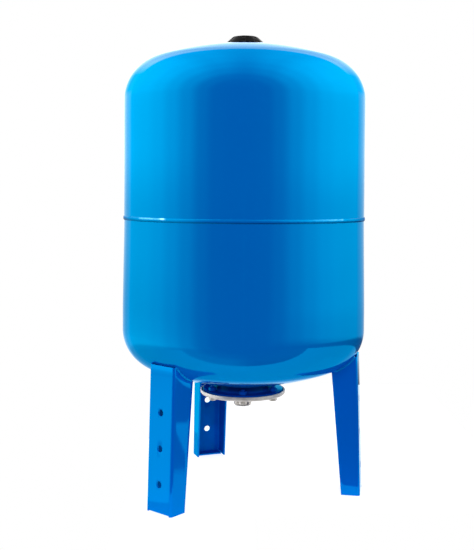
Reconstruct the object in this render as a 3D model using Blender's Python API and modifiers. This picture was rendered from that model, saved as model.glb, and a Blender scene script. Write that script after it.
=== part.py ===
"""Vertical expansion vessel on three legs: two drawn steel shells with a replaceable rubber membrane.

Metres, +Z up. The origin is on the vessel's axis at floor level, and the feet stand on Z = 0.
Every turned piece is a closed outline in the XZ plane, spun about Z by a Screw modifier.
"""

import math

import bmesh
import bpy
from mathutils import Matrix, Vector

# --- Driving dimensions, in metres -------------------------------------------------------------
FIT_GAP = 0.0003  # left between pieces that touch

# Shells: torispherical heads, each a crown arc that runs into a tighter knuckle arc.
SHELL_WALL = 0.0020
UPPER_RADIUS = 0.2250
UPPER_TANGENT_Z = 0.7250
UPPER_KNUCKLE = 0.0820
UPPER_CROWN = 0.5340
LOWER_RADIUS = 0.2270
LOWER_NECKED_RADIUS = 0.2245  # the lower shell narrows towards the seam
LOWER_TANGENT_Z = 0.3000
LOWER_STRAIGHT_TOP_Z = 0.3450  # above this the lower shell tapers to its necked radius
LOWER_KNUCKLE = 0.0750
LOWER_CROWN = 0.4980
SEAM_Z = 0.5078
JOGGLE_HEIGHT = 0.0100  # the lower shell's rim reaches this far up inside the upper shell
SEAM_BEAD_HEIGHT = 0.0074
SEAM_BEAD_PROUD = 0.0014

# Bottom flange set.
NECK_RADIUS = 0.0560
NECK_BORE = 0.0500
RING_RADIUS = 0.0755
RING_THICKNESS = 0.0045
DISH_RADIUS = 0.0803
DISH_SHEET = 0.0025
DISH_BOTTOM_Z = 0.1748
DISH_RIM_Z = 0.1828
DISH_CORNER = 0.0030
MEMBRANE_LIP = 0.0022
BOLT_COUNT = 6
BOLT_CIRCLE = 0.0650
BOLT_FIRST_AZIMUTH = -90.0
BOLT_RADIUS = 0.0040
BOLT_HOLE_RADIUS = 0.0045
BOLT_TIP_PROUD = 0.0025
HEAD_ACROSS_FLATS = 0.0130
HEAD_HEIGHT = 0.0053
WASHER_RADIUS = 0.0080
WASHER_THICKNESS = 0.0016
NUT_ACROSS_FLATS = 0.0130
NUT_HEIGHT = 0.0065

# Pipe connection: G1 male thread, 33.25 mm over its crests.
NOZZLE_END_Z = 0.1513
NOZZLE_CREST = 0.01662
NOZZLE_ROOT = 0.01515
NOZZLE_BORE = 0.0125
NOZZLE_PITCH = 0.002309
NOZZLE_THREADS = 7
NOZZLE_HEAD_RADIUS = 0.0215
NOZZLE_HEAD_THICKNESS = 0.0024

# Membrane: a rubber bag hung in the vessel, open at its neck.
BAG_WALL = 0.0025
BAG_RADIUS = 0.1500
BAG_KNUCKLE = 0.0800
BAG_CROWN = 0.3000
BAG_LOW_TANGENT_Z = 0.3400
BAG_HIGH_TANGENT_Z = 0.5600
BAG_NECK_RADIUS = 0.0485
BAG_LIP_RADIUS = 0.0600

# Legs: U channels with the web outside, leaning in towards the top.
LEG_AZIMUTHS = {"left": -130.0, "right": -10.0, "rear": 110.0}
LEG_SHEET = 0.0030
LEG_BEND = 0.0050  # outside radius of the two folds
LEG_WIDTH = 0.0600
LEG_FOOT_RADIUS = 0.2247  # vessel axis to the web's outer face at the floor
LEG_LEAN = 0.0295  # inward run per unit of height
LEG_DEPTH_AT_FLOOR = 0.0346
LEG_DEPTH_GAIN = 0.0570  # how much deeper the flanges get per unit of height
LEG_WEB_TOP_Z = 0.2560
LEG_HOLE_RADIUS = 0.0060
LEG_HOLE_LOWEST_Z = 0.0510
LEG_HOLE_PITCH = 0.0620
LEG_HOLES = 3
LEG_SHELL_GAP = 0.0006
FOOT_PLATE_REACH = 0.0250
FOOT_PLATE_SLIT = 0.0006  # between the folded-in plate and the flanges beside it
LEG_BEAD_RADIUS = 0.0022
LEG_BEAD_START = 0.1745  # distance along the leg's azimuth at the bead's inner end
LEG_BEAD_END = 0.2115
LEG_BEAD_POINTS = 9

# Air valve in the crown of the upper shell, and its covers.
BOSS_RADIUS = 0.0085
BOSS_TOP_Z = 0.8330
BOSS_FOOT_Z = 0.8200
STEM_RADIUS = 0.00385
STEM_TOP_Z = 0.8410
STEM_FOOT_Z = 0.8125
STEM_SHANK_RADIUS = 0.0047
STEM_COLLAR_RADIUS = 0.0060
STEM_COLLAR_HEIGHT = 0.0020
STEM_BORE = 0.00265
CORE_RADIUS = 0.0023
CORE_BORE = 0.0017
CORE_TOP_Z = 0.8400
CORE_FOOT_Z = 0.8200
CORE_SHOULDER = 0.0015
CORE_SHOULDER_BORE = 0.0010
PIN_RADIUS = 0.00065
PIN_TOP_Z = 0.8405
PIN_FOOT_Z = 0.8168
PIN_COLLAR_RADIUS = 0.0013
PIN_COLLAR_Z = 0.8375
PIN_COLLAR_HEIGHT = 0.0006
PIN_CUP_RADIUS = 0.0021
PIN_CUP_HEIGHT = 0.0014
GASKET_THICKNESS = 0.0009
SPRING_RADIUS = 0.00125
SPRING_WIRE = 0.00018
SPRING_TURNS = 6
SPRING_POINTS_PER_TURN = 8
DUST_CAP_RADIUS = 0.0055
DUST_CAP_BORE = 0.0042
DUST_CAP_TOP_Z = 0.8437
DUST_CAP_ROOF = 0.0018
COVER_TOP_Z = 0.8463
COVER_RADIUS = 0.0385
COVER_FLAT_RADIUS = 0.0140
COVER_ARC = 0.0280
COVER_WALL = 0.0018
COVER_SLEEVE_BORE = 0.0088
COVER_SLEEVE_WALL = 0.0015

SHELL_SEGMENTS = 56
FLANGE_SEGMENTS = 40
BAG_SEGMENTS = 24
SMALL_SEGMENTS = 24
TINY_SEGMENTS = 12

# --- Derived places -----------------------------------------------------------------------------
DISH_FLOOR_Z = DISH_BOTTOM_Z + DISH_SHEET
LIP_TOP_Z = DISH_FLOOR_Z + FIT_GAP + MEMBRANE_LIP
RING_FOOT_Z = LIP_TOP_Z + FIT_GAP
RING_TOP_Z = RING_FOOT_Z + RING_THICKNESS
NUT_FOOT_Z = RING_TOP_Z + FIT_GAP
BOLT_TIP_Z = NUT_FOOT_Z + NUT_HEIGHT + BOLT_TIP_PROUD
WASHER_TOP_Z = DISH_BOTTOM_Z - FIT_GAP
HEAD_TOP_Z = WASHER_TOP_Z - WASHER_THICKNESS - FIT_GAP

SCENE = bpy.context.scene
PARTS = None
CUTTERS = None


# --- Scene and materials ------------------------------------------------------------------------
def clear_scene():
    for obj in list(bpy.data.objects):
        bpy.data.objects.remove(obj, do_unlink=True)


def new_collection(name, hidden=False):
    made = bpy.data.collections.new(name)
    made.hide_render = hidden
    SCENE.collection.children.link(made)
    return made


def finish(name, colour, roughness, metallic=0.0):
    """A Principled material: linear colour, roughness and metallic value."""
    made = bpy.data.materials.new(name)
    made.use_nodes = True
    shader = made.node_tree.nodes["Principled BSDF"]
    shader.inputs["Base Color"].default_value = (*colour, 1.0)
    shader.inputs["Roughness"].default_value = roughness
    shader.inputs["Metallic"].default_value = metallic
    made.diffuse_color = (*colour, 1.0)
    return made


def add_object(name, mesh, material, parent=None):
    obj = bpy.data.objects.new(name, mesh)
    PARTS.objects.link(obj)
    if material and not mesh.materials:
        mesh.materials.append(material)
    obj.parent = parent
    return obj


def add_cutter(name, mesh, parent=None):
    obj = bpy.data.objects.new(name, mesh)
    CUTTERS.objects.link(obj)
    obj.hide_render = True
    obj.display_type = "WIRE"
    obj.parent = parent
    return obj


def add_empty(name, location=(0, 0, 0), turn_z=0.0):
    obj = bpy.data.objects.new(name, None)
    PARTS.objects.link(obj)
    obj.empty_display_size = 0.03
    obj.location = location
    obj.rotation_euler.z = math.radians(turn_z)
    return obj


# --- Shape helpers ------------------------------------------------------------------------------
def arc(centre, radius, start, end, steps):
    """Points on an arc in the profile plane, with angles in degrees from +X towards +Z."""
    angles = [math.radians(start + (end - start) * i / steps) for i in range(steps + 1)]
    return [(centre[0] + radius * math.cos(a), centre[1] + radius * math.sin(a)) for a in angles]


def head_outline(radius, tangent_z, knuckle, crown, hole, sense, knuckle_steps, crown_steps):
    """A torispherical head from its tangent line in to a central hole.

    sense is 1 for a head that bulges up and -1 for one that bulges down.
    """
    rise = math.sqrt((crown - knuckle) ** 2 - (radius - knuckle) ** 2)
    meet = math.degrees(math.atan2(rise, radius - knuckle))
    stop = math.degrees(math.acos(hole / crown))
    outline = arc((radius - knuckle, 0.0), knuckle, 0.0, meet, knuckle_steps)
    outline += arc((0.0, -rise), crown, meet, stop, crown_steps)[1:]
    return [(x, tangent_z + sense * z) for x, z in outline]


def head_height(radius, tangent_z, knuckle, crown, at, sense):
    """Height of a torispherical head's surface at a distance from the axis."""
    rise = math.sqrt((crown - knuckle) ** 2 - (radius - knuckle) ** 2)
    meet = radius - knuckle + knuckle * (radius - knuckle) / (crown - knuckle)
    if at < meet:
        height = math.sqrt(crown**2 - at**2) - rise
    else:
        height = math.sqrt(knuckle**2 - (at - radius + knuckle) ** 2)
    return tangent_z + sense * height


def outline_mesh(name, points, closed):
    mesh = bpy.data.meshes.new(name)
    ends = [(i, i + 1) for i in range(len(points) - 1)]
    if closed:
        ends.append((len(points) - 1, 0))
    mesh.from_pydata([(x, 0.0, z) for x, z in points], ends, [])
    return mesh


def spin(obj, segments):
    screw = obj.modifiers.new("Spin", "SCREW")
    screw.axis = "Z"
    screw.angle = math.tau
    screw.steps = segments
    screw.render_steps = segments
    screw.use_merge_vertices = True
    screw.merge_threshold = 0.00001
    screw.use_smooth_shade = True
    return screw


def turned(name, points, material, segments, closed=True, parent=None):
    """A ring from a closed outline, or a solid from an outline that starts and ends on the axis."""
    obj = add_object(name, outline_mesh(name, points, closed), material, parent)
    spin(obj, segments)
    return obj


def turned_cutter(name, points, segments, closed=True, parent=None):
    obj = add_cutter(name, outline_mesh(name, points, closed), parent)
    spin(obj, segments)
    return obj


def cylinder_mesh(name, radius, low, high, segments, turn=0.0):
    """An upright cylinder or prism about the Z axis, from low to high."""
    mesh = bpy.data.meshes.new(name)
    solid = bmesh.new()
    place = Matrix.Translation((0, 0, (low + high) / 2)) @ Matrix.Rotation(turn, 4, "Z")
    bmesh.ops.create_cone(
        solid,
        cap_ends=True,
        segments=segments,
        radius1=radius,
        radius2=radius,
        depth=high - low,
        matrix=place,
    )
    solid.to_mesh(mesh)
    solid.free()
    return mesh


def box_mesh(name, low, high):
    mesh = bpy.data.meshes.new(name)
    solid = bmesh.new()
    size = Vector(high) - Vector(low)
    place = Matrix.Translation((Vector(low) + Vector(high)) / 2) @ Matrix.Diagonal((*size, 1.0))
    bmesh.ops.create_cube(solid, size=1.0, matrix=place)
    solid.to_mesh(mesh)
    solid.free()
    return mesh


def boolean(obj, tool, operation="DIFFERENCE"):
    step = obj.modifiers.new(operation.title(), "BOOLEAN")
    step.operation = operation
    step.object = tool
    step.solver = "EXACT"


def shade(mesh, angle=30.0):
    mesh.shade_smooth()
    mesh.set_sharp_from_angle(angle=math.radians(angle))


def baked(obj):
    """The object's mesh with its modifiers applied, for copies that share it. The object is removed."""
    bpy.context.view_layer.update()
    graph = bpy.context.evaluated_depsgraph_get()
    mesh = bpy.data.meshes.new_from_object(obj.evaluated_get(graph))
    bpy.data.objects.remove(obj, do_unlink=True)
    return mesh


def tube(name, points, radius, material, resolution, parent=None):
    """A round wire along points, made a mesh so that its end caps are welded to its side."""
    path = bpy.data.curves.new(name, "CURVE")
    path.dimensions = "3D"
    path.bevel_depth = radius
    path.bevel_resolution = resolution
    path.use_fill_caps = True
    line = path.splines.new("POLY")
    line.points.add(len(points) - 1)
    for point, place in zip(line.points, points):
        point.co = (*place, 1.0)
    obj = bpy.data.objects.new(name, path)
    PARTS.objects.link(obj)
    mesh = baked(obj)
    mesh.name = name
    solid = bmesh.new()
    solid.from_mesh(mesh)
    bmesh.ops.remove_doubles(solid, verts=solid.verts, dist=0.000005)
    bmesh.ops.recalc_face_normals(solid, faces=solid.faces)
    solid.to_mesh(mesh)
    solid.free()
    shade(mesh, 60.0)
    return add_object(name, mesh, material, parent)


# --- Shells -------------------------------------------------------------------------------------
def make_upper_shell(paint):
    hole = BOSS_RADIUS + FIT_GAP
    foot_z = SEAM_Z
    outer = head_outline(
        UPPER_RADIUS, UPPER_TANGENT_Z, UPPER_KNUCKLE, UPPER_CROWN, hole, 1, 6, 4
    )
    inner = head_outline(
        UPPER_RADIUS - SHELL_WALL,
        UPPER_TANGENT_Z,
        UPPER_KNUCKLE - SHELL_WALL,
        UPPER_CROWN - SHELL_WALL,
        hole,
        1,
        4,
        2,
    )
    points = outer[::-1]
    points += [(UPPER_RADIUS, foot_z), (UPPER_RADIUS - SHELL_WALL, foot_z)]
    points += inner
    return turned("upper_shell", points, paint, SHELL_SEGMENTS)


def make_lower_shell(paint):
    rim_radius = UPPER_RADIUS - SHELL_WALL - FIT_GAP
    rim_top = SEAM_Z + JOGGLE_HEIGHT
    step_top = SEAM_Z - 0.0005
    step_foot = SEAM_Z - 0.0032
    outer = head_outline(
        LOWER_RADIUS, LOWER_TANGENT_Z, LOWER_KNUCKLE, LOWER_CROWN, NECK_BORE, -1, 6, 4
    )
    inner = head_outline(
        LOWER_RADIUS - SHELL_WALL,
        LOWER_TANGENT_Z,
        LOWER_KNUCKLE - SHELL_WALL,
        LOWER_CROWN - SHELL_WALL,
        NECK_BORE,
        -1,
        4,
        2,
    )
    points = [(rim_radius, rim_top), (rim_radius, step_top)]
    points += [(LOWER_NECKED_RADIUS, step_foot), (LOWER_RADIUS, LOWER_STRAIGHT_TOP_Z)]
    points += outer
    points += inner[::-1]
    points += [(LOWER_RADIUS - SHELL_WALL, LOWER_STRAIGHT_TOP_Z)]
    points += [(LOWER_NECKED_RADIUS - SHELL_WALL, step_foot - 0.0010)]
    points += [(rim_radius - SHELL_WALL, step_top - 0.0010), (rim_radius - SHELL_WALL, rim_top)]
    return turned("lower_shell", points, paint, SHELL_SEGMENTS)


def make_girth_weld(paint):
    """A low rounded bead over the joint of the two shells."""
    half = SEAM_BEAD_HEIGHT / 2
    middle = SEAM_Z - 0.0008
    crest = UPPER_RADIUS + SEAM_BEAD_PROUD
    back = UPPER_RADIUS + FIT_GAP
    points = []
    for step in range(5):
        swing = math.radians(90.0 - 45.0 * step)
        out = max(back + 0.0002, back + (crest - back) * math.cos(swing))
        points.append((out, middle + half * math.sin(swing)))
    points += [(back, middle - half), (back, middle + half)]
    return turned("girth_weld", points, paint, SHELL_SEGMENTS)


# --- Bottom flange set --------------------------------------------------------------------------
def bolt_azimuths():
    return [BOLT_FIRST_AZIMUTH + 360.0 * i / BOLT_COUNT for i in range(BOLT_COUNT)]


def bolt_place(azimuth):
    turn = math.radians(azimuth)
    return Vector((BOLT_CIRCLE * math.cos(turn), BOLT_CIRCLE * math.sin(turn), 0.0))


def bolt_hole_cutter():
    """All the bolt holes in one mesh: cylinders that cross both flanges."""
    mesh = bpy.data.meshes.new("bolt_holes")
    solid = bmesh.new()
    for azimuth in bolt_azimuths():
        bmesh.ops.create_cone(
            solid,
            cap_ends=True,
            segments=TINY_SEGMENTS,
            radius1=BOLT_HOLE_RADIUS,
            radius2=BOLT_HOLE_RADIUS,
            depth=0.040,
            matrix=Matrix.Translation(bolt_place(azimuth) + Vector((0, 0, RING_FOOT_Z))),
        )
    solid.to_mesh(mesh)
    solid.free()
    return add_cutter("bolt_holes", mesh)


def make_neck_flange(paint, holes):
    """The welded collar and its bolting ring, turned in one piece."""
    top = head_height(
        LOWER_RADIUS, LOWER_TANGENT_Z, LOWER_KNUCKLE, LOWER_CROWN, NECK_BORE, -1
    )
    top -= FIT_GAP
    root = 0.0015
    points = [(NECK_BORE, top), (NECK_RADIUS, top)]
    points += [(NECK_RADIUS, RING_TOP_Z + root), (NECK_RADIUS + root, RING_TOP_Z)]
    points += [(RING_RADIUS - 0.0006, RING_TOP_Z), (RING_RADIUS, RING_TOP_Z - 0.0006)]
    points += [(RING_RADIUS, RING_FOOT_Z), (NECK_BORE, RING_FOOT_Z)]
    obj = turned("neck_flange", points, paint, FLANGE_SEGMENTS)
    boolean(obj, holes)
    return obj


def make_neck_weld(paint):
    """Fillet between the collar and the underside of the lower shell."""
    leg = 0.0040
    inner = NECK_RADIUS + FIT_GAP
    outer = inner + leg
    head = (LOWER_RADIUS, LOWER_TANGENT_Z, LOWER_KNUCKLE, LOWER_CROWN)
    inner_top = head_height(*head, inner, -1) - FIT_GAP
    outer_top = head_height(*head, outer, -1) - FIT_GAP
    points = [(inner, inner_top), (outer, outer_top)]
    points += [(inner + 0.40 * leg, inner_top - 0.45 * leg), (inner, inner_top - leg)]
    return turned("neck_weld", points, paint, FLANGE_SEGMENTS)


def make_counter_flange(zinc, holes):
    """Pressed dish whose rim stands up around the bolting ring."""
    hole = NOZZLE_CREST + FIT_GAP
    inside = DISH_RADIUS - DISH_SHEET
    corner = (DISH_RADIUS - DISH_CORNER, DISH_BOTTOM_Z + DISH_CORNER)
    points = [(inside, DISH_RIM_Z), (DISH_RADIUS, DISH_RIM_Z)]
    points += arc(corner, DISH_CORNER, 0.0, -90.0, 3)
    points += [(hole, DISH_BOTTOM_Z), (hole, DISH_FLOOR_Z), (inside, DISH_FLOOR_Z)]
    obj = turned("counter_flange", points, zinc, FLANGE_SEGMENTS)
    boolean(obj, holes)
    return obj


def make_nozzle(zinc):
    """Threaded stub with a head that seats inside the dish. Its thread is drawn as rings."""
    head_foot = DISH_FLOOR_Z + FIT_GAP
    head_top = head_foot + NOZZLE_HEAD_THICKNESS
    chamfer = 0.0015
    points = [(NOZZLE_BORE, head_top), (NOZZLE_HEAD_RADIUS, head_top)]
    points += [(NOZZLE_HEAD_RADIUS, head_foot), (NOZZLE_CREST, head_foot)]
    first = NOZZLE_END_Z + chamfer + NOZZLE_THREADS * NOZZLE_PITCH
    for thread in range(NOZZLE_THREADS):
        crest_z = first - thread * NOZZLE_PITCH
        points.append((NOZZLE_CREST, crest_z))
        points.append((NOZZLE_ROOT, crest_z - NOZZLE_PITCH / 2))
    points += [(NOZZLE_CREST, NOZZLE_END_Z + chamfer)]
    points += [(NOZZLE_CREST - chamfer, NOZZLE_END_Z), (NOZZLE_BORE, NOZZLE_END_Z)]
    return turned("connection_nozzle", points, zinc, SMALL_SEGMENTS)


def make_nozzle_weld(zinc):
    leg = 0.0030
    inner = NOZZLE_CREST + FIT_GAP
    top = DISH_BOTTOM_Z - FIT_GAP
    points = [(inner, top), (inner + leg, top), (inner + 0.45 * leg, top - 0.40 * leg)]
    points += [(inner, top - leg)]
    return turned("nozzle_weld", points, zinc, SMALL_SEGMENTS)


def make_membrane(rubber):
    """The bag: closed at the top, with a lip clamped between the ring and the dish."""
    lip_foot = DISH_FLOOR_Z + FIT_GAP
    inner_neck = BAG_NECK_RADIUS - BAG_WALL
    low = (BAG_LOW_TANGENT_Z, BAG_KNUCKLE, BAG_CROWN)
    high = (BAG_HIGH_TANGENT_Z, BAG_KNUCKLE, BAG_CROWN)
    low_in = (BAG_LOW_TANGENT_Z, BAG_KNUCKLE - BAG_WALL, BAG_CROWN - BAG_WALL)
    high_in = (BAG_HIGH_TANGENT_Z, BAG_KNUCKLE - BAG_WALL, BAG_CROWN - BAG_WALL)
    points = head_outline(BAG_RADIUS, *high, 0.0, 1, 3, 2)[::-1]
    points += head_outline(BAG_RADIUS, *low, BAG_NECK_RADIUS, -1, 3, 2)
    points += [(BAG_NECK_RADIUS, LIP_TOP_Z), (BAG_LIP_RADIUS, LIP_TOP_Z)]
    points += [(BAG_LIP_RADIUS, lip_foot), (inner_neck, lip_foot)]
    points += head_outline(BAG_RADIUS - BAG_WALL, *low_in, inner_neck, -1, 3, 1)[::-1]
    points += head_outline(BAG_RADIUS - BAG_WALL, *high_in, 0.0, 1, 3, 1)
    points[0] = (0.0, points[0][1])
    points[-1] = (0.0, points[-1][1])
    return turned("membrane", points, rubber, BAG_SEGMENTS, closed=False)


def hexagon_radius(across_flats):
    return across_flats / 2 / math.cos(math.pi / 6)


def bolt_mesh():
    shank = add_cutter(
        "bolt_shank",
        cylinder_mesh("bolt_shank", BOLT_RADIUS, HEAD_TOP_Z - 0.001, BOLT_TIP_Z, TINY_SEGMENTS),
    )
    head_foot = HEAD_TOP_Z - HEAD_HEIGHT
    radius = hexagon_radius(HEAD_ACROSS_FLATS)
    head = add_object("bolt", cylinder_mesh("bolt", radius, head_foot, HEAD_TOP_Z, 6), None)
    boolean(head, shank, "UNION")
    mesh = baked(head)
    shade(mesh)
    return mesh


def nut_mesh():
    bore = add_cutter(
        "nut_bore",
        cylinder_mesh(
            "nut_bore",
            BOLT_RADIUS + FIT_GAP,
            NUT_FOOT_Z - 0.005,
            NUT_FOOT_Z + NUT_HEIGHT + 0.005,
            TINY_SEGMENTS,
        ),
    )
    radius = hexagon_radius(NUT_ACROSS_FLATS)
    top = NUT_FOOT_Z + NUT_HEIGHT
    nut = add_object("nut", cylinder_mesh("nut", radius, NUT_FOOT_Z, top, 6), None)
    boolean(nut, bore)
    mesh = baked(nut)
    shade(mesh)
    return mesh


def washer_mesh():
    foot = WASHER_TOP_Z - WASHER_THICKNESS
    bore = BOLT_RADIUS + FIT_GAP
    points = [(bore, WASHER_TOP_Z), (WASHER_RADIUS, WASHER_TOP_Z)]
    points += [(WASHER_RADIUS, foot), (bore, foot)]
    washer = turned("washer", points, None, TINY_SEGMENTS)
    mesh = baked(washer)
    shade(mesh)
    return mesh


def make_fasteners(zinc, paint):
    """Bolt, washer and welded nut at each place on the bolt circle."""
    kinds = (
        ("flange_bolt", bolt_mesh(), zinc),
        ("bolt_washer", washer_mesh(), zinc),
        ("weld_nut", nut_mesh(), paint),
    )
    for number, azimuth in enumerate(bolt_azimuths(), 1):
        for kind, mesh, material in kinds:
            obj = add_object(f"{kind}_{number}", mesh, material)
            obj.location = bolt_place(azimuth)
            obj.rotation_euler.z = math.radians(azimuth)


# --- Legs ---------------------------------------------------------------------------------------
def channel_outline(depth):
    """The channel's section: web outside at X = 0, flanges running to X = -depth."""
    half = LEG_WIDTH / 2
    inner_bend = LEG_BEND - LEG_SHEET
    centre_x = -LEG_BEND
    centre_y = half - LEG_BEND
    outside = [(-depth, half)] + arc((centre_x, centre_y), LEG_BEND, 90.0, 0.0, 3)
    inside = arc((centre_x, centre_y), inner_bend, 0.0, 90.0, 3) + [(-depth, half - LEG_SHEET)]
    mirrored_out = [(x, -y) for x, y in reversed(outside)]
    mirrored_in = [(x, -y) for x, y in reversed(inside)]
    return outside + mirrored_out + mirrored_in + inside


def channel_mesh(name, depth, low, high):
    mesh = bpy.data.meshes.new(name)
    solid = bmesh.new()
    corners = [solid.verts.new((x, y, low)) for x, y in channel_outline(depth)]
    face = solid.faces.new(corners)
    rise = bmesh.ops.extrude_face_region(solid, geom=[face])["geom"]
    moved = [item for item in rise if isinstance(item, bmesh.types.BMVert)]
    bmesh.ops.translate(solid, verts=moved, vec=(0, 0, high - low))
    bmesh.ops.recalc_face_normals(solid, faces=solid.faces)
    solid.to_mesh(mesh)
    solid.free()
    return mesh


def leg_cutters():
    """What trims a leg that points along +X: floor, flange taper, web top, holes, and the shell."""
    floor = add_cutter("leg_floor", box_mesh("leg_floor", (0.05, -0.1, -0.1), (0.3, 0.1, 0.0)))

    # The flanges' free edges: a block whose outer face slopes in towards the top.
    taper = add_cutter("leg_taper", box_mesh("leg_taper", (-0.2, -0.1, -0.1), (0.0, 0.1, 0.5)))
    taper.location.x = LEG_FOOT_RADIUS - LEG_DEPTH_AT_FLOOR
    taper.rotation_euler.y = -math.atan(LEG_LEAN + LEG_DEPTH_GAIN)

    web_face = LEG_FOOT_RADIUS - LEG_LEAN * LEG_WEB_TOP_Z
    web_low = (web_face - LEG_BEND, -0.1, LEG_WEB_TOP_Z)
    web_top = add_cutter("leg_web_top", box_mesh("leg_web_top", web_low, (0.3, 0.1, 0.4)))

    mesh = bpy.data.meshes.new("leg_holes")
    solid = bmesh.new()
    for index in range(LEG_HOLES):
        height = LEG_HOLE_LOWEST_Z + index * LEG_HOLE_PITCH
        place = Matrix.Translation((LEG_FOOT_RADIUS - LEG_LEAN * height, 0, height))
        bmesh.ops.create_cone(
            solid,
            cap_ends=True,
            segments=20,
            radius1=LEG_HOLE_RADIUS,
            radius2=LEG_HOLE_RADIUS,
            depth=0.030,
            matrix=place @ Matrix.Rotation(math.pi / 2 - math.atan(LEG_LEAN), 4, "Y"),
        )
    solid.to_mesh(mesh)
    solid.free()
    holes = add_cutter("leg_holes", mesh)

    # The shell's outer surface, grown by the gap that the weld bead bridges.
    grown = head_outline(
        LOWER_RADIUS + LEG_SHELL_GAP,
        LOWER_TANGENT_Z,
        LOWER_KNUCKLE + LEG_SHELL_GAP,
        LOWER_CROWN + LEG_SHELL_GAP,
        0.0,
        -1,
        12,
        5,
    )
    grown[-1] = (0.0, grown[-1][1])
    top_z = 0.42
    points = [(0.0, top_z), (LOWER_RADIUS + LEG_SHELL_GAP, top_z)] + grown
    shell = turned_cutter("leg_shell", points, SHELL_SEGMENTS, closed=False)
    return [floor, taper, web_top, holes, shell]


def leg_mesh():
    """One leg pointing along +X, with its foot plate folded in from the web."""
    depth_at_top = LEG_DEPTH_AT_FLOOR + LEG_DEPTH_GAIN * 0.30
    leg = add_object("leg", channel_mesh("leg", depth_at_top, -0.02, 0.30), None)
    leg.location.x = LEG_FOOT_RADIUS
    leg.rotation_euler.y = -math.atan(LEG_LEAN)

    half = LEG_WIDTH / 2 - LEG_SHEET - FOOT_PLATE_SLIT
    outer = LEG_FOOT_RADIUS - LEG_SHEET / 2
    inner = LEG_FOOT_RADIUS - FOOT_PLATE_REACH
    plate = box_mesh("foot_plate", (inner, -half, -0.001), (outer, half, LEG_SHEET))
    boolean(leg, add_cutter("foot_plate", plate), "UNION")
    for cutter in leg_cutters():
        boolean(leg, cutter)
    mesh = baked(leg)
    lean = Matrix.Rotation(-math.atan(LEG_LEAN), 4, "Y")
    mesh.transform(Matrix.Translation((LEG_FOOT_RADIUS, 0, 0)) @ lean)
    shade(mesh)
    return mesh


def leg_bead_points(side):
    """The root of the fillet where a flange meets the shell, outside the flange."""
    stand_off = LEG_BEAD_RADIUS + FIT_GAP + 0.0002
    across = side * (LEG_WIDTH / 2 + stand_off)
    grown = (
        LOWER_RADIUS + stand_off,
        LOWER_TANGENT_Z,
        LOWER_KNUCKLE + stand_off,
        LOWER_CROWN + stand_off,
    )
    points = []
    for step in range(LEG_BEAD_POINTS):
        # Shorter steps outwards, where the shell steepens, keep the heights nearly even.
        part_way = math.sin(math.pi / 2 * step / (LEG_BEAD_POINTS - 1))
        along = LEG_BEAD_START + (LEG_BEAD_END - LEG_BEAD_START) * part_way
        from_axis = math.hypot(along, across)
        points.append((along, across, head_height(*grown, from_axis, -1)))
    return points


def make_legs(paint):
    mesh = leg_mesh()
    for name, azimuth in LEG_AZIMUTHS.items():
        frame = add_empty(f"{name}_leg_frame", turn_z=azimuth)
        add_object(f"{name}_leg", mesh, paint, frame)
        for label, side in (("a", 1), ("b", -1)):
            points = leg_bead_points(side)
            tube(f"{name}_leg_weld_{label}", points, LEG_BEAD_RADIUS, paint, 1, frame)


# --- Air valve and covers -----------------------------------------------------------------------
def make_valve_boss(paint):
    """Threaded bung welded into the crown."""
    bore = STEM_SHANK_RADIUS + FIT_GAP
    edge = 0.0006
    points = [(bore, BOSS_TOP_Z), (BOSS_RADIUS - edge, BOSS_TOP_Z)]
    points += [(BOSS_RADIUS, BOSS_TOP_Z - edge), (BOSS_RADIUS, BOSS_FOOT_Z), (bore, BOSS_FOOT_Z)]
    return turned("valve_boss", points, paint, SMALL_SEGMENTS)


def make_valve_stem(brass):
    collar_foot = BOSS_TOP_Z + FIT_GAP
    collar_top = collar_foot + STEM_COLLAR_HEIGHT
    edge = 0.0004
    points = [(STEM_BORE, STEM_TOP_Z), (STEM_RADIUS - edge, STEM_TOP_Z)]
    points += [(STEM_RADIUS, STEM_TOP_Z - edge), (STEM_RADIUS, collar_top)]
    points += [(STEM_COLLAR_RADIUS, collar_top), (STEM_COLLAR_RADIUS, collar_foot)]
    points += [(STEM_SHANK_RADIUS, collar_foot), (STEM_SHANK_RADIUS, STEM_FOOT_Z + edge)]
    points += [(STEM_SHANK_RADIUS - edge, STEM_FOOT_Z), (STEM_BORE, STEM_FOOT_Z)]
    return turned("valve_stem", points, brass, SMALL_SEGMENTS)


def make_valve_core(brass):
    """Barrel that holds the spring, with a shoulder inside its foot."""
    shoulder = CORE_FOOT_Z + CORE_SHOULDER
    points = [(CORE_BORE, CORE_TOP_Z), (CORE_RADIUS, CORE_TOP_Z), (CORE_RADIUS, CORE_FOOT_Z)]
    points += [(CORE_SHOULDER_BORE, CORE_FOOT_Z), (CORE_SHOULDER_BORE, shoulder)]
    points += [(CORE_BORE, shoulder)]
    return turned("valve_core", points, brass, TINY_SEGMENTS)


def pin_cup_top():
    return CORE_FOOT_Z - GASKET_THICKNESS - 2 * FIT_GAP


def make_valve_pin(steel, parent):
    """Pin with a spring collar near its top and the sealing cup at its foot."""
    collar_top = PIN_COLLAR_Z + PIN_COLLAR_HEIGHT
    cup_top = pin_cup_top()
    cup_foot = cup_top - PIN_CUP_HEIGHT
    points = [(0.0, PIN_TOP_Z), (PIN_RADIUS, PIN_TOP_Z), (PIN_RADIUS, collar_top)]
    points += [(PIN_COLLAR_RADIUS, collar_top), (PIN_COLLAR_RADIUS, PIN_COLLAR_Z)]
    points += [(PIN_RADIUS, PIN_COLLAR_Z), (PIN_RADIUS, cup_top), (PIN_CUP_RADIUS, cup_top)]
    points += [(PIN_CUP_RADIUS, cup_foot), (PIN_RADIUS, cup_foot), (PIN_RADIUS, PIN_FOOT_Z)]
    points += [(0.0, PIN_FOOT_Z)]
    shifted = [(x, z - PIN_TOP_Z) for x, z in points]
    return turned("valve_pin", shifted, steel, TINY_SEGMENTS, closed=False, parent=parent)


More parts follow.
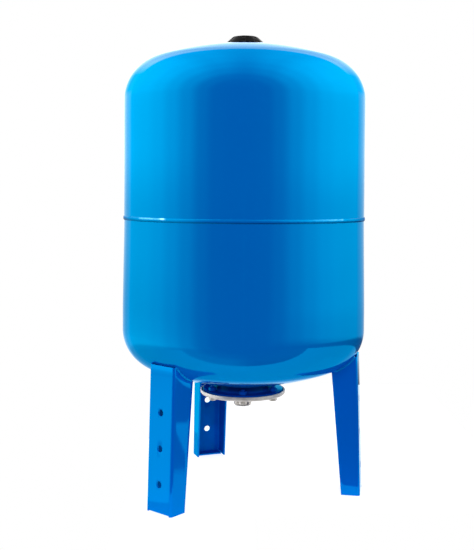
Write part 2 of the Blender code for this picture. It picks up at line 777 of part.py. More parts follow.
def make_valve_gasket(rubber, parent):
    """Ring on the cup, which closes against the barrel's foot."""
    top = CORE_FOOT_Z - FIT_GAP - PIN_TOP_Z
    foot = top - GASKET_THICKNESS
    bore = PIN_RADIUS + FIT_GAP
    outer = PIN_CUP_RADIUS - 0.0001
    points = [(bore, top), (outer, top), (outer, foot), (bore, foot)]
    return turned("valve_gasket", points, rubber, TINY_SEGMENTS, parent=parent)


def make_valve_spring(steel):
    low = CORE_FOOT_Z + CORE_SHOULDER + FIT_GAP + SPRING_WIRE
    high = PIN_COLLAR_Z - FIT_GAP - SPRING_WIRE
    count = SPRING_TURNS * SPRING_POINTS_PER_TURN
    points = []
    for step in range(count + 1):
        turn = math.tau * step / SPRING_POINTS_PER_TURN
        height = low + (high - low) * step / count
        points.append((SPRING_RADIUS * math.cos(turn), SPRING_RADIUS * math.sin(turn), height))
    return tube("valve_spring", points, SPRING_WIRE, steel, 1)


def make_dust_cap(plastic, parent):
    """Small screw cap over the valve stem."""
    foot = BOSS_TOP_Z + FIT_GAP + STEM_COLLAR_HEIGHT + FIT_GAP
    roof = DUST_CAP_TOP_Z - DUST_CAP_ROOF
    edge = 0.0007
    points = [(0.0, DUST_CAP_TOP_Z), (DUST_CAP_RADIUS - edge, DUST_CAP_TOP_Z)]
    points += [(DUST_CAP_RADIUS, DUST_CAP_TOP_Z - edge), (DUST_CAP_RADIUS, foot)]
    points += [(DUST_CAP_BORE, foot), (DUST_CAP_BORE, roof), (0.0, roof)]
    shifted = [(x, z - foot) for x, z in points]
    parent.location.z = foot
    return turned("dust_cap", shifted, plastic, SMALL_SEGMENTS, closed=False, parent=parent)


def crown_height(at):
    return head_height(UPPER_RADIUS, UPPER_TANGENT_Z, UPPER_KNUCKLE, UPPER_CROWN, at, 1)


def make_protective_cap(plastic, parent):
    """Low domed cover with an inner sleeve that grips the valve boss."""
    arc_centre = (COVER_FLAT_RADIUS, COVER_TOP_Z - COVER_ARC)
    lip_at = COVER_RADIUS - 0.0005
    lip_angle = math.degrees(math.acos((lip_at - COVER_FLAT_RADIUS) / COVER_ARC))
    foot = crown_height(COVER_RADIUS) + FIT_GAP
    inner_radius = COVER_RADIUS - COVER_WALL
    inner_arc = COVER_ARC - COVER_WALL
    inner_lip = math.degrees(math.acos((inner_radius - 0.0005 - COVER_FLAT_RADIUS) / inner_arc))
    roof = COVER_TOP_Z - COVER_WALL
    sleeve_foot = crown_height(COVER_SLEEVE_BORE) + 2 * FIT_GAP
    sleeve_radius = COVER_SLEEVE_BORE + COVER_SLEEVE_WALL
    points = [(0.0, COVER_TOP_Z)] + arc(arc_centre, COVER_ARC, 90.0, lip_angle, 6)
    points += [(COVER_RADIUS, foot + 0.002), (COVER_RADIUS, foot)]
    points += [(inner_radius, foot), (inner_radius, foot + 0.002)]
    points += arc(arc_centre, inner_arc, inner_lip, 90.0, 4)
    points += [(sleeve_radius, roof), (sleeve_radius, sleeve_foot)]
    points += [(COVER_SLEEVE_BORE, sleeve_foot), (COVER_SLEEVE_BORE, roof), (0.0, roof)]
    parent.location.z = foot
    shifted = [(x, z - foot) for x, z in points]
    return turned(
        "protective_cap", shifted, plastic, FLANGE_SEGMENTS, closed=False, parent=parent
    )


# --- Assembly -----------------------------------------------------------------------------------
def build():
    global PARTS, CUTTERS
    clear_scene()
    PARTS = new_collection("expansion_vessel")
    CUTTERS = new_collection("cutters", hidden=True)

    blue = finish("blue_enamel", (0.0, 0.20, 0.72), 0.22)
    zinc = finish("galvanised_steel", (0.62, 0.60, 0.57), 0.42, 1.0)
    rubber = finish("black_rubber", (0.02, 0.02, 0.02), 0.75)
    brass = finish("brass", (0.75, 0.55, 0.22), 0.30, 1.0)
    spring_steel = finish("spring_steel", (0.55, 0.56, 0.58), 0.30, 1.0)
    plastic = finish("black_plastic", (0.012, 0.012, 0.013), 0.38)

    make_upper_shell(blue)
    make_lower_shell(blue)
    make_girth_weld(blue)

    holes = bolt_hole_cutter()
    make_neck_flange(blue, holes)
    make_neck_weld(blue)
    make_counter_flange(zinc, holes)
    make_nozzle(zinc)
    make_nozzle_weld(zinc)
    make_membrane(rubber)
    make_fasteners(zinc, blue)
    make_legs(blue)

    make_valve_boss(blue)
    make_valve_stem(brass)
    make_valve_core(brass)
    pin_axis = add_empty("valve_pin_axis", (0, 0, PIN_TOP_Z))
    make_valve_pin(spring_steel, pin_axis)
    make_valve_gasket(rubber, pin_axis)
    make_valve_spring(spring_steel)
    make_dust_cap(plastic, add_empty("dust_cap_axis"))
    make_protective_cap(plastic, add_empty("protective_cap_axis"))


build()
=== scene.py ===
"""Looks of the expansion vessel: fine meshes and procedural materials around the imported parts.

Metres, +Z up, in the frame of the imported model: the vessel's axis is the Z axis and the floor is Z = 0.
"""

import math
import random

import bmesh
import bpy
from mathutils import Matrix, Vector, noise


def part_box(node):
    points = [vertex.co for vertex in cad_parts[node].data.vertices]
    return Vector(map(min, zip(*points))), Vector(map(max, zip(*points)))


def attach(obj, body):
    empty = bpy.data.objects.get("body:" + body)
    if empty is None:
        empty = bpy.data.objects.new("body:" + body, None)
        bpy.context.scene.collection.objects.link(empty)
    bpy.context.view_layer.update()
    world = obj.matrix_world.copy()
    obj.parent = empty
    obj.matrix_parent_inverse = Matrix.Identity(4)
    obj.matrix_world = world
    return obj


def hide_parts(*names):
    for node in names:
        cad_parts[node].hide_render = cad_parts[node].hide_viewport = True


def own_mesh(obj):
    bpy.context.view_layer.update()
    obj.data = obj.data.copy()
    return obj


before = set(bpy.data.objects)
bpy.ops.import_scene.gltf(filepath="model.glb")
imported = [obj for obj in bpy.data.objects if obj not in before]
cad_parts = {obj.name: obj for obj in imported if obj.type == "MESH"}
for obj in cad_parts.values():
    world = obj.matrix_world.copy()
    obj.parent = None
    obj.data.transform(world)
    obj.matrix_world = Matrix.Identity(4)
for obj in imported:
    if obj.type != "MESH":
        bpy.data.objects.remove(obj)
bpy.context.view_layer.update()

# --- Sizes taken from the frame ------------------------------------------------------------------
UPPER_LOW, UPPER_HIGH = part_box("upper_shell")
LOWER_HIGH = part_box("lower_shell")[1]
RING_LOW, RING_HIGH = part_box("neck_flange")
DISH_LOW, DISH_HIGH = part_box("counter_flange")
STUB_LOW, STUB_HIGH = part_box("connection_nozzle")
BAG_LOW, BAG_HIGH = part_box("membrane")
BOSS_LOW, BOSS_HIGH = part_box("valve_boss")
STEM_LOW, STEM_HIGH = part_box("valve_stem")
CORE_LOW, CORE_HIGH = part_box("valve_core")
PIN_LOW, PIN_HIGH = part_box("valve_pin")
GASKET_LOW, GASKET_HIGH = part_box("valve_gasket")
SPRING_LOW, SPRING_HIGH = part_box("valve_spring")
DUST_LOW, DUST_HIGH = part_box("dust_cap")
COVER_LOW, COVER_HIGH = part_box("protective_cap")

# --- Driving sizes that a box can't give ---------------------------------------------------------
WALL = 0.0020
UPPER_RADIUS = UPPER_HIGH.x
UPPER_TANGENT_Z = 0.7250
UPPER_KNUCKLE = 0.0820
UPPER_CROWN = 0.5340
LOWER_RADIUS = LOWER_HIGH.x
LOWER_NECKED_RADIUS = 0.2245
LOWER_TANGENT_Z = 0.3000
LOWER_KNUCKLE = 0.0750
LOWER_CROWN = 0.4980
LOWER_STRAIGHT_TOP_Z = 0.3450
SEAM_Z = UPPER_LOW.z
SEAM_HEIGHT = 0.0074
SEAM_PROUD = 0.0014

NECK_RADIUS = 0.0560
NECK_BORE = 0.0500
RING_RADIUS = RING_HIGH.x
RING_FOOT_Z = RING_LOW.z
RING_TOP_Z = RING_FOOT_Z + 0.0045
DISH_RADIUS = DISH_HIGH.x
DISH_SHEET = 0.0025
BOLT_COUNT = 6
BOLT_CIRCLE = 0.0650
BOLT_FIRST = -90.0
BOLT_RADIUS = 0.0040
BOLT_HOLE_RADIUS = 0.0045
BOLT_PITCH = 0.00125
HEX_FLATS = 0.0130

STUB_CREST = 0.01662
STUB_ROOT = 0.01520
STUB_BORE = 0.0125
STUB_PITCH = 0.002309

LEG_AZIMUTHS = {"left": -130.0, "right": -10.0, "rear": 110.0}
LEG_SHEET = 0.0030
LEG_BEND = 0.0050
LEG_WIDTH = 0.0600
LEG_FOOT_RADIUS = 0.2247
LEG_LEAN = 0.0295
LEG_DEPTH = 0.0346
LEG_DEPTH_GAIN = 0.0570
LEG_WEB_TOP_Z = 0.2560
LEG_HOLES_Z = (0.0510, 0.1130, 0.1750)
LEG_HOLE_RADIUS = 0.0060
FOOT_REACH = 0.0250

COVER_FLAT_RADIUS = 0.0140
COVER_ARC = 0.0280
COVER_WALL = 0.0018
COVER_SCALLOPS = 8
COVER_FIRST_SCALLOP = -97.0
STEM_FLATS = 0.0104
STEM_PITCH = 0.00079
CORE_PITCH = 0.0007

AROUND = 192  # facets around the shells
AROUND_FLANGE = 128
AROUND_SMALL = 64
GAP = 0.0003

random.seed(11)


# --- Mesh tools ----------------------------------------------------------------------------------
def arc(centre, radius, start, end, steps):
    """Points on an arc, with angles in degrees from +X towards +Z."""
    angles = [math.radians(start + (end - start) * i / steps) for i in range(steps + 1)]
    return [(centre[0] + radius * math.cos(a), centre[1] + radius * math.sin(a)) for a in angles]


def rounded(points, steps=3, closed=True):
    """An outline whose corners (x, z, radius) become arcs. A corner with no radius stays sharp."""
    made = []
    count = len(points)
    for i, corner in enumerate(points):
        here = Vector(corner[:2])
        radius = corner[2] if len(corner) > 2 else 0.0
        if radius <= 0.0 or (not closed and i in (0, count - 1)):
            made.append(tuple(here))
            continue
        before = Vector(points[i - 1][:2]) - here
        after = Vector(points[(i + 1) % count][:2]) - here
        half = before.angle(after) / 2
        reach = min(radius / math.tan(half), 0.49 * before.length, 0.49 * after.length)
        radius = reach * math.tan(half)
        start = here + before.normalized() * reach
        end = here + after.normalized() * reach
        middle = here + (before.normalized() + after.normalized()).normalized() * radius / math.sin(half)
        first = start - middle
        last = end - middle
        turn = math.atan2(first.x * last.y - first.y * last.x, first.dot(last))
        for step in range(steps + 1):
            c = math.cos(turn * step / steps)
            s = math.sin(turn * step / steps)
            made.append((middle.x + c * first.x - s * first.y, middle.y + s * first.x + c * first.y))
    return made


def subdivided(start, end, steps):
    """Points from start up to but not including end."""
    return [
        (start[0] + (end[0] - start[0]) * i / steps, start[1] + (end[1] - start[1]) * i / steps)
        for i in range(steps)
    ]


def head(radius, tangent_z, knuckle, crown, hole, sense, knuckle_steps=14, crown_steps=14):
    """A torispherical head, from its tangent line in to a central hole."""
    rise = math.sqrt((crown - knuckle) ** 2 - (radius - knuckle) ** 2)
    meet = math.degrees(math.atan2(rise, radius - knuckle))
    stop = math.degrees(math.acos(hole / crown))
    outline = arc((radius - knuckle, 0.0), knuckle, 0.0, meet, knuckle_steps)
    outline += arc((0.0, -rise), crown, meet, stop, crown_steps)[1:]
    return [(x, tangent_z + sense * z) for x, z in outline]


def head_height(radius, tangent_z, knuckle, crown, at, sense):
    """Height of a head's surface at a distance from the axis."""
    rise = math.sqrt((crown - knuckle) ** 2 - (radius - knuckle) ** 2)
    meet = radius - knuckle + knuckle * (radius - knuckle) / (crown - knuckle)
    if at < meet:
        return tangent_z + sense * (math.sqrt(crown**2 - at**2) - rise)
    return tangent_z + sense * math.sqrt(max(0.0, knuckle**2 - (at - radius + knuckle) ** 2))


def under(at, grown=0.0):
    """Height of the lower shell's underside, grown outwards, at a distance from the axis."""
    sizes = (LOWER_RADIUS + grown, LOWER_TANGENT_Z, LOWER_KNUCKLE + grown, LOWER_CROWN + grown)
    return head_height(*sizes, at, -1)


def crown(at):
    return head_height(UPPER_RADIUS, UPPER_TANGENT_Z, UPPER_KNUCKLE, UPPER_CROWN, at, 1)


def smooth(mesh, angle=35.0):
    mesh.shade_smooth()
    mesh.set_sharp_from_angle(angle=math.radians(angle))


def new_object(name, mesh, material):
    obj = bpy.data.objects.new(name, mesh)
    bpy.context.scene.collection.objects.link(obj)
    if material:
        mesh.materials.clear()
        mesh.materials.append(material)
    return obj


def from_bmesh(name, solid, material=None, angle=35.0):
    bmesh.ops.recalc_face_normals(solid, faces=solid.faces)
    mesh = bpy.data.meshes.new(name)
    solid.to_mesh(mesh)
    solid.free()
    smooth(mesh, angle)
    return new_object(name, mesh, material)


def revolved(name, rows, around, material=None, closed=False, angle=35.0):
    """A skin of rings. Each row is (radius, z), or a function of the angle that gives them.

    With closed, the last row joins the first; otherwise each end closes on a point on the axis.
    """
    solid = bmesh.new()
    rings = []
    for row in rows:
        ring = []
        for step in range(around):
            turn = math.tau * step / around
            radius, z = row(turn) if callable(row) else row
            ring.append(solid.verts.new((radius * math.cos(turn), radius * math.sin(turn), z)))
        rings.append(ring)
    pairs = list(zip(rings, rings[1:]))
    if closed:
        pairs.append((rings[-1], rings[0]))
    for one, two in pairs:
        for i in range(around):
            j = (i + 1) % around
            solid.faces.new((one[i], one[j], two[j], two[i]))
    if not closed:
        for ring in (rings[0], rings[-1]):
            middle = solid.verts.new((0.0, 0.0, sum(v.co.z for v in ring) / around))
            for i in range(around):
                solid.faces.new((ring[i], ring[(i + 1) % around], middle))
    return from_bmesh(name, solid, material, angle)


def warped(outline, bend):
    """Rows for revolved() whose radius is moved by bend(turn, radius, z)."""

    def row(x, z):
        return lambda turn: (x + bend(turn, x, z), z)

    return [row(x, z) for x, z in outline]


def swept(name, path, radii, sides, material, up=Vector((0, 0, 1))):
    """A closed tube along points. radii(i, angle) gives the radius at a point and an angle."""
    solid = bmesh.new()
    rings = []
    last = len(path) - 1
    for i, here in enumerate(path):
        ahead = (path[min(i + 1, last)] - path[max(i - 1, 0)]).normalized()
        side = ahead.cross(up).normalized()
        top = side.cross(ahead)
        ring = []
        for step in range(sides):
            turn = math.tau * step / sides
            out = side * math.cos(turn) + top * math.sin(turn)
            ring.append(solid.verts.new(here + out * radii(i, turn)))
        rings.append(ring)
    for one, two in zip(rings, rings[1:]):
        for i in range(sides):
            j = (i + 1) % sides
            solid.faces.new((one[i], one[j], two[j], two[i]))
    for ring, place in ((rings[0], path[0]), (rings[-1], path[-1])):
        middle = solid.verts.new(place)
        for i in range(sides):
            solid.faces.new((ring[i], ring[(i + 1) % sides], middle))
    return from_bmesh(name, solid, material, 60.0)


def cut(obj, tool):
    step = obj.modifiers.new("Cut", "BOOLEAN")
    step.operation = "DIFFERENCE"
    step.object = tool
    step.solver = "EXACT"


def apply_modifiers(obj):
    bpy.context.view_layer.update()
    graph = bpy.context.evaluated_depsgraph_get()
    mesh = bpy.data.meshes.new_from_object(obj.evaluated_get(graph))
    obj.modifiers.clear()
    obj.data = mesh
    return obj


def cylinder(radius, length, place, sides=48):
    """A cylinder to cut with, removed by the caller."""
    solid = bmesh.new()
    size = {"segments": sides, "radius1": radius, "radius2": radius, "depth": length}
    bmesh.ops.create_cone(solid, cap_ends=True, matrix=place, **size)
    return from_bmesh("cutter", solid)


def moved(obj, matrix):
    obj.data.transform(matrix)
    obj.data.update()
    return obj


def done(obj, node, body="vessel"):
    """Ties a finished piece to its body and hides the node that it stands for."""
    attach(obj, body)
    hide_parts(node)
    return obj


def turned(node, rows, around, material, piece=None, body="vessel", closed=True, angle=35.0):
    """A finished piece of revolution that stands for a node of the same name."""
    obj = revolved(f"{piece or node}_fine", rows, around, material, closed, angle)
    return done(obj, node, body)


# --- Materials -----------------------------------------------------------------------------------
class Graph:
    """A node tree with short calls for the nodes used here. Most of them return a socket."""

    def __init__(self, tree):
        self.tree = tree

    def feed(self, node, sockets):
        """Puts a constant on the socket itself, and links the output of another node."""
        for key, value in sockets.items():
            socket = node.inputs[key if isinstance(key, int) else key.replace("_", " ")]
            if isinstance(value, bpy.types.NodeSocket):
                self.tree.links.new(value, socket)
            else:
                socket.default_value = value

    def add(self, kind, *first, **named):
        node = self.tree.nodes.new(kind)
        self.feed(node, dict(enumerate(first)) | named)
        return node

    def axes(self, source):
        return self.add("ShaderNodeSeparateXYZ", source).outputs

    def math(self, operation, *values):
        node = self.add("ShaderNodeMath", *values)
        node.operation = operation
        return node.outputs[0]

    def times(self, one, two):
        return self.math("MULTIPLY", one, two)

    def mix(self, factor, one, two):
        return self.add("ShaderNodeMixShader", factor, one, two).outputs[0]

    def spread(self, value, low, high, start=0.3, end=0.7):
        """Maps start..end to low..high, and keeps within them."""
        node = self.add("ShaderNodeMapRange", value, start, end, low, high)
        return node.outputs["Result"]

    def ramp(self, value, stops, interpolation="LINEAR"):
        """Colours along a value. Each stop is (place from 0 to 1, colour)."""
        node = self.add("ShaderNodeValToRGB", value)
        node.color_ramp.interpolation = interpolation
        elements = node.color_ramp.elements
        elements[0].position, elements[1].position = stops[0][0], stops[-1][0]
        for place, _ in stops[1:-1]:
            elements.new(place)
        for element, (_, colour) in zip(elements, stops):
            element.color = (*colour, 1.0)
        return node.outputs["Color"]

    def curve(self, value, low, high, stops):
        """A smooth curve of brightness. Each stop is (place from low to high, level up to 4)."""
        share = self.spread(value, 0.0, 1.0, low, high)
        greys = [((place - low) / (high - low), (level / 4,) * 3) for place, level in stops]
        return self.times(self.ramp(share, greys, "EASE"), 4.0)


class Shader(Graph):
    """A Principled material whose textures follow the object's own coordinates."""

    def __init__(self, name, **constants):
        self.material = bpy.data.materials.new(name)
        self.material.use_nodes = True
        super().__init__(self.material.node_tree)
        self.bsdf = self.tree.nodes["Principled BSDF"]
        self.place = self.add("ShaderNodeTexCoord").outputs["Object"]
        self.feed(self.bsdf, constants)

    def noise(self, scale, detail=2.0, roughness=0.5, stretch=None):
        place = self.place
        if stretch:
            place = self.add("ShaderNodeMapping", Vector=place, Scale=stretch).outputs["Vector"]
        tone = {"Scale": scale, "Detail": detail, "Roughness": roughness}
        return self.add("ShaderNodeTexNoise", Vector=place, **tone).outputs["Fac"]

    def bump(self, height, distance, strength, **below):
        node = self.add("ShaderNodeBump", Height=height, Distance=distance, Strength=strength, **below)
        return node.outputs["Normal"]

    def mottled(self, dark, light, *tone):
        return self.ramp(self.noise(*tone), [(0.30, dark), (0.70, light)])

    def by_height(self, low, high, low_value=0.0, high_value=1.0):
        return self.spread(self.axes(self.place)["Z"], low_value, high_value, low, high)

    def metal(self, colour, grazing, gloss, normal):
        tints = {"Base_Color": (*colour, 1.0), "Specular_Tint": (*grazing, 1.0)}
        finish = {"Metallic": 1.0, "Roughness": gloss, "Normal": normal}
        return self.add("ShaderNodeBsdfPrincipled", **finish, **tints).outputs[0]

    def surface(self, colour, gloss, grain, pits=None):
        """Sets colour, gloss and grain, and returns the last two for a coat over them.

        gloss is (noise scale, detail, lowest, highest) and grain is (noise scale, detail, height,
        strength, stretch). pits adds a second grain of round cells (scale, height, strength).
        """
        roughness = self.spread(self.noise(*gloss[:2]), *gloss[2:])
        scale, detail, height, strength, *stretch = grain
        normal = self.bump(self.noise(scale, detail, 0.5, *stretch), height, strength)
        if pits:
            cells = self.add("ShaderNodeTexVoronoi", Vector=self.place, Scale=pits[0])
            normal = self.bump(cells.outputs["Distance"], *pits[1:], Normal=normal)
        self.feed(self.bsdf, {"Base Color": colour, "Roughness": roughness, "Normal": normal})
        return roughness, normal

    def cover(self, amount, coat):
        """Lays a coat over the base."""
        whole = self.mix(amount, self.bsdf.outputs[0], coat)
        self.tree.links.new(whole, self.tree.nodes["Material Output"].inputs["Surface"])


def lacquer(shader, gloss, normal, strength=2.4, tint=0.60, graze=0.72, whiten=(0.66, 0.96), sheen_veil=True):
    """A blue-tinted mirror, whiter towards grazing. Returns its amount, itself and its white."""
    blue = shader.metal((0.0, tint, 1.0), (0.30, graze, 1.0), gloss, normal)
    white = shader.metal((0.40, 0.79, 1.0), (0.72, 0.92, 1.0), gloss, normal)
    facing = shader.add("ShaderNodeLayerWeight", Blend=0.5).outputs["Facing"]
    rim = shader.spread(facing, 0.0, 1.0, *whiten)
    if sheen_veil:
        # Painted reflection: on upward slopes the grazing shine turns white at once, as a pale band.
        slope = shader.axes(shader.add("ShaderNodeNewGeometry").outputs["Normal"])["Z"]
        upward_sheen = shader.spread(slope, 0.0, 0.80, 0.45, 0.70)
        veil = shader.times(shader.spread(facing, 0.0, 1.0, 0.635, 0.665), upward_sheen)
        # Painted reflection too: lower down the sides, and on slopes, the rim keeps more of its blue.
        upright = shader.spread(slope, 1.0, 0.05, 0.03, 0.14)
        side = shader.times(shader.times(rim, upright), shader.by_height(0.28, 0.60, 0.40, 1.0))
        rim = shader.math("MAXIMUM", side, veil)
    amount = shader.add("ShaderNodeFresnel", IOR=strength).outputs[0]
    return amount, shader.mix(rim, blue, white), white


def enamel(name, dark, light, tone, gloss, grain, **coat):
    shader = Shader(name, Specular_IOR_Level=0.0)
    base = shader.surface(shader.mottled(dark, light, *tone), gloss, grain)
    amount, shine, _ = lacquer(shader, *base, **coat)
    shader.cover(amount, shine)
    return shader.material


def neck_shaded_enamel():
    """Enamel on the neck with painted shade: darkest up in the narrow gap under the shell."""
    shader = Shader("neck_shaded_enamel", Specular_IOR_Level=0.0)
    height = shader.by_height(RING_TOP_Z - 0.0004, RING_TOP_Z + 0.0060)
    colour = shader.ramp(height, [(0.0, (0.0, 0.050, 0.360)), (1.0, (0.0, 0.012, 0.105))])
    base = shader.surface(colour, (120.0, 3.0, 0.10, 0.22), (420.0, 3.0, 0.00008, 0.5))
    amount, shine, _ = lacquer(shader, *base, strength=1.22, **DULL_COAT)
    shader.cover(amount, shine)
    return shader.material


def seam_enamel():
    """The enamel on the girth weld, with painted highlights in places along its crest and painted shade
    along its lower edge.
    """
    shader = Shader("seam_enamel", Specular_IOR_Level=0.0)
    # Painted shade: the bead darkens towards its lower edge.
    underside_shade = shader.by_height(SEAM_Z - 0.0032, SEAM_Z - 0.0002)
    colour = shader.ramp(underside_shade, [(0.0, (0.0, 0.022, 0.180)), (0.75, (0.0, 0.118, 0.500))])
    base = shader.surface(colour, (260.0, 2.0, 0.04, 0.12), (700.0, 3.0, 0.00010, 0.5))
    # Painted highlights: at given places along X, on the crest, the mirror turns whiter and stronger.
    highlight_along = shader.curve(shader.axes(shader.place)["X"], -0.24, 0.24, HIGHLIGHT_SPOTS)
    patchy = shader.spread(shader.noise(90.0, 3.0), 0.60, 1.0, 0.42, 0.56)
    crest = shader.by_height(SEAM_Z - 0.0006, SEAM_Z + 0.0006)
    painted_highlight = shader.times(shader.times(highlight_along, patchy), crest)
    _, shine, white = lacquer(shader, *base)
    shader.cover(shader.math("MULTIPLY_ADD", painted_highlight, 0.45, 0.17), shader.mix(painted_highlight, shine, white))
    return shader.material


def textured(name, dark, light, tone, gloss, grain, pits=None, **constants):
    shader = Shader(name, **constants)
    shader.surface(shader.mottled(dark, light, *tone), gloss, grain, pits)
    return shader.material


# Where highlights are painted along the girth weld: (place along X, how bright).
HIGHLIGHT_SPOTS = [(-0.24, 0.20), (-0.212, 0.22), (-0.206, 0.02), (-0.186, 0.02), (-0.180, 0.34)]
HIGHLIGHT_SPOTS += [(-0.146, 0.42), (-0.141, 0.95), (-0.136, 0.95), (-0.132, 0.0), (0.100, 0.0)]
HIGHLIGHT_SPOTS += [(0.160, 0.22), (0.170, 0.30), (0.173, 0.0), (0.24, 0.0)]
DULL_COAT = {"tint": 0.60, "graze": 0.80, "whiten": (0.84, 1.0), "sheen_veil": False}
LEG_COAT = {"tint": 0.52, "graze": 0.95, "whiten": (0.84, 1.0), "sheen_veil": False}

# Glossy baked enamel with faint orange peel; thicker and less even over the welds, a deeper blue on
# the flat legs, and a darker, duller copy of it as painted shade for insides and gaps.
BLUE = enamel(
    "blue_enamel",
    (0.0, 0.118, 0.500),
    (0.0, 0.126, 0.525),
    tone=(3.0, 3.0),
    gloss=(40.0, 3.0, 0.020, 0.042),
    grain=(240.0, 2.0, 0.00006, 0.30),
)
WELD_BLUE = enamel(
    "weld_enamel",
    (0.0, 0.105, 0.460),
    (0.0, 0.140, 0.550),
    tone=(160.0, 3.0),
    gloss=(300.0, 2.0, 0.08, 0.20),
    grain=(900.0, 3.0, 0.00012, 0.6),
)
LEG_BLUE = enamel(
    "leg_enamel",
    (0.0, 0.090, 0.525),
    (0.0, 0.098, 0.555),
    tone=(5.0, 3.0),
    gloss=(40.0, 3.0, 0.030, 0.060),
    grain=(260.0, 2.0, 0.00006, 0.30),
    **LEG_COAT,
)
SHADED_BLUE = enamel(
    "shaded_enamel",
    (0.0, 0.048, 0.350),
    (0.0, 0.064, 0.450),
    tone=(28.0, 4.0),
    gloss=(120.0, 3.0, 0.10, 0.22),
    grain=(420.0, 3.0, 0.00008, 0.5),
    strength=1.45,
    **DULL_COAT,
)
NECK_SHADED_BLUE = neck_shaded_enamel()
SEAM_BLUE = seam_enamel()

# Zinc plate, a warm grey with soft mottling and fine rolling lines; the stub's own steel; turned
# brass; spring wire; moulded polypropylene with a satin shine; and the rubber of the membrane.
ZINC = textured(
    "zinc_plate",
    (0.53, 0.495, 0.455),
    (0.72, 0.685, 0.64),
    tone=(70.0, 5.0, 0.65),
    gloss=(220.0, 4.0, 0.40, 0.60),
    grain=(900.0, 2.0, 0.00005, 0.5, (0.15, 0.15, 1.0)),
    pits=(520.0, 0.00003, 0.35),
    Metallic=0.60,
)
STEEL = textured(
    "stub_steel",
    (0.36, 0.35, 0.34),
    (0.62, 0.60, 0.58),
    tone=(120.0, 4.0, 0.6),
    gloss=(300.0, 3.0, 0.16, 0.34),
    grain=(1400.0, 2.0, 0.00004, 0.5, (0.2, 0.2, 1.0)),
    Metallic=1.0,
)
BRASS = textured(
    "turned_brass",
    (0.62, 0.42, 0.15),
    (0.82, 0.61, 0.27),
    tone=(160.0, 4.0),
    gloss=(500.0, 3.0, 0.16, 0.34),
    grain=(2600.0, 2.0, 0.00002, 0.6, (0.1, 0.1, 1.0)),
    Metallic=1.0,
)
SPRING_STEEL = textured(
    "drawn_wire",
    (0.44, 0.45, 0.47),
    (0.66, 0.66, 0.66),
    tone=(400.0, 3.0),
    gloss=(900.0, 3.0, 0.20, 0.38),
    grain=(3000.0, 2.0, 0.00001, 0.5),
    Metallic=1.0,
)
PLASTIC = textured(
    "black_plastic",
    (0.004, 0.004, 0.004),
    (0.008, 0.007, 0.007),
    tone=(90.0, 4.0),
    gloss=(600.0, 3.0, 0.12, 0.22),
    grain=(2200.0, 2.0, 0.00004, 0.45),
    IOR=1.49,
    Specular_IOR_Level=0.014,
)
RUBBER = textured(
    "moulded_rubber",
    (0.014, 0.014, 0.014),
    (0.030, 0.029, 0.028),
    tone=(60.0, 5.0),
    gloss=(400.0, 4.0, 0.55, 0.80),
    grain=(1500.0, 4.0, 0.00012, 0.6),
    IOR=1.52,
)


# --- Shells --------------------------------------------------------------------------------------
def sheet_wave(amount, seed):
    """Slight unevenness of drawn sheet steel, with a wavelength of some 80 mm."""

    def bend(turn, radius, z):
        place = Vector((radius * math.cos(turn), radius * math.sin(turn), z)) * 12.0
        return amount * noise.noise(place + Vector((seed, 0.0, 0.0))) * min(1.0, radius / 0.1)

    return bend


def make_upper_shell():
    hole = BOSS_HIGH.x + GAP
    sizes = (UPPER_RADIUS, UPPER_TANGENT_Z, UPPER_KNUCKLE, UPPER_CROWN, hole, 1)
    inside = (UPPER_RADIUS - WALL, UPPER_TANGENT_Z, UPPER_KNUCKLE - WALL, UPPER_CROWN - WALL, hole, 1)
    outline = head(*sizes, 18, 18)[::-1][:-1]
    outline += subdivided((UPPER_RADIUS, UPPER_TANGENT_Z), (UPPER_RADIUS, SEAM_Z), 14)
    outline += [(UPPER_RADIUS, SEAM_Z), (UPPER_RADIUS - WALL, SEAM_Z)]
    outline += head(*inside, 8, 6)
    rows = warped(outline, sheet_wave(0.00016, 3.0))
    turned("upper_shell", rows, AROUND, BLUE)


def make_lower_shell():
    rim = UPPER_RADIUS - WALL - GAP
    rim_top = LOWER_HIGH.z
    step_top = SEAM_Z - 0.0005
    step_foot = SEAM_Z - 0.0032
    sizes = (LOWER_RADIUS, LOWER_TANGENT_Z, LOWER_KNUCKLE, LOWER_CROWN, NECK_BORE, -1)
    bends = (LOWER_KNUCKLE - WALL, LOWER_CROWN - WALL)
    inside = (LOWER_RADIUS - WALL, LOWER_TANGENT_Z, *bends, NECK_BORE, -1)
    outline = [(rim, rim_top), (rim, step_top)]
    necked = (LOWER_NECKED_RADIUS, step_foot)
    flare = (LOWER_RADIUS, LOWER_STRAIGHT_TOP_Z)
    outline += [necked]
    outline += subdivided((LOWER_NECKED_RADIUS, step_foot - 0.0006), flare, 10)
    outline += subdivided(flare, (LOWER_RADIUS, LOWER_TANGENT_Z), 3)
    outline += head(*sizes, 18, 16)
    outline += head(*inside, 8, 6)[::-1]
    outline += [(LOWER_RADIUS - WALL, LOWER_STRAIGHT_TOP_Z)]
    outline += [(LOWER_NECKED_RADIUS - WALL, step_foot - 0.0010)]
    outline += [(rim - WALL, step_top - 0.0010), (rim - WALL, rim_top)]
    rows = warped(outline, sheet_wave(0.00016, 9.0))
    turned("lower_shell", rows, AROUND, BLUE)


def make_girth_weld():
    """A rounded bead with the faint ripple of a machine weld."""
    half = SEAM_HEIGHT / 2
    middle = SEAM_Z - 0.0008
    back = UPPER_RADIUS - 0.0004
    outline = [(back, middle - half)]
    for swing in range(-84, 85, 12):
        out = SEAM_PROUD * math.cos(math.radians(swing)) - 0.0002
        outline.append((UPPER_RADIUS + out, middle + half * math.sin(math.radians(swing))))
    outline += [(back, middle + half)]

    def ripple(turn, radius, z):
        share = max(0.0, (radius - UPPER_RADIUS) / SEAM_PROUD)
        pulse = math.sin(turn * UPPER_RADIUS / 0.0026 + 5.0 * z / SEAM_HEIGHT)
        drift = noise.noise(Vector((math.cos(turn) * 9.0, math.sin(turn) * 9.0, z * 60.0)))
        return share * (0.00004 * pulse + 0.00022 * drift)

    turned("girth_weld", warped(outline, ripple), 720, SEAM_BLUE)


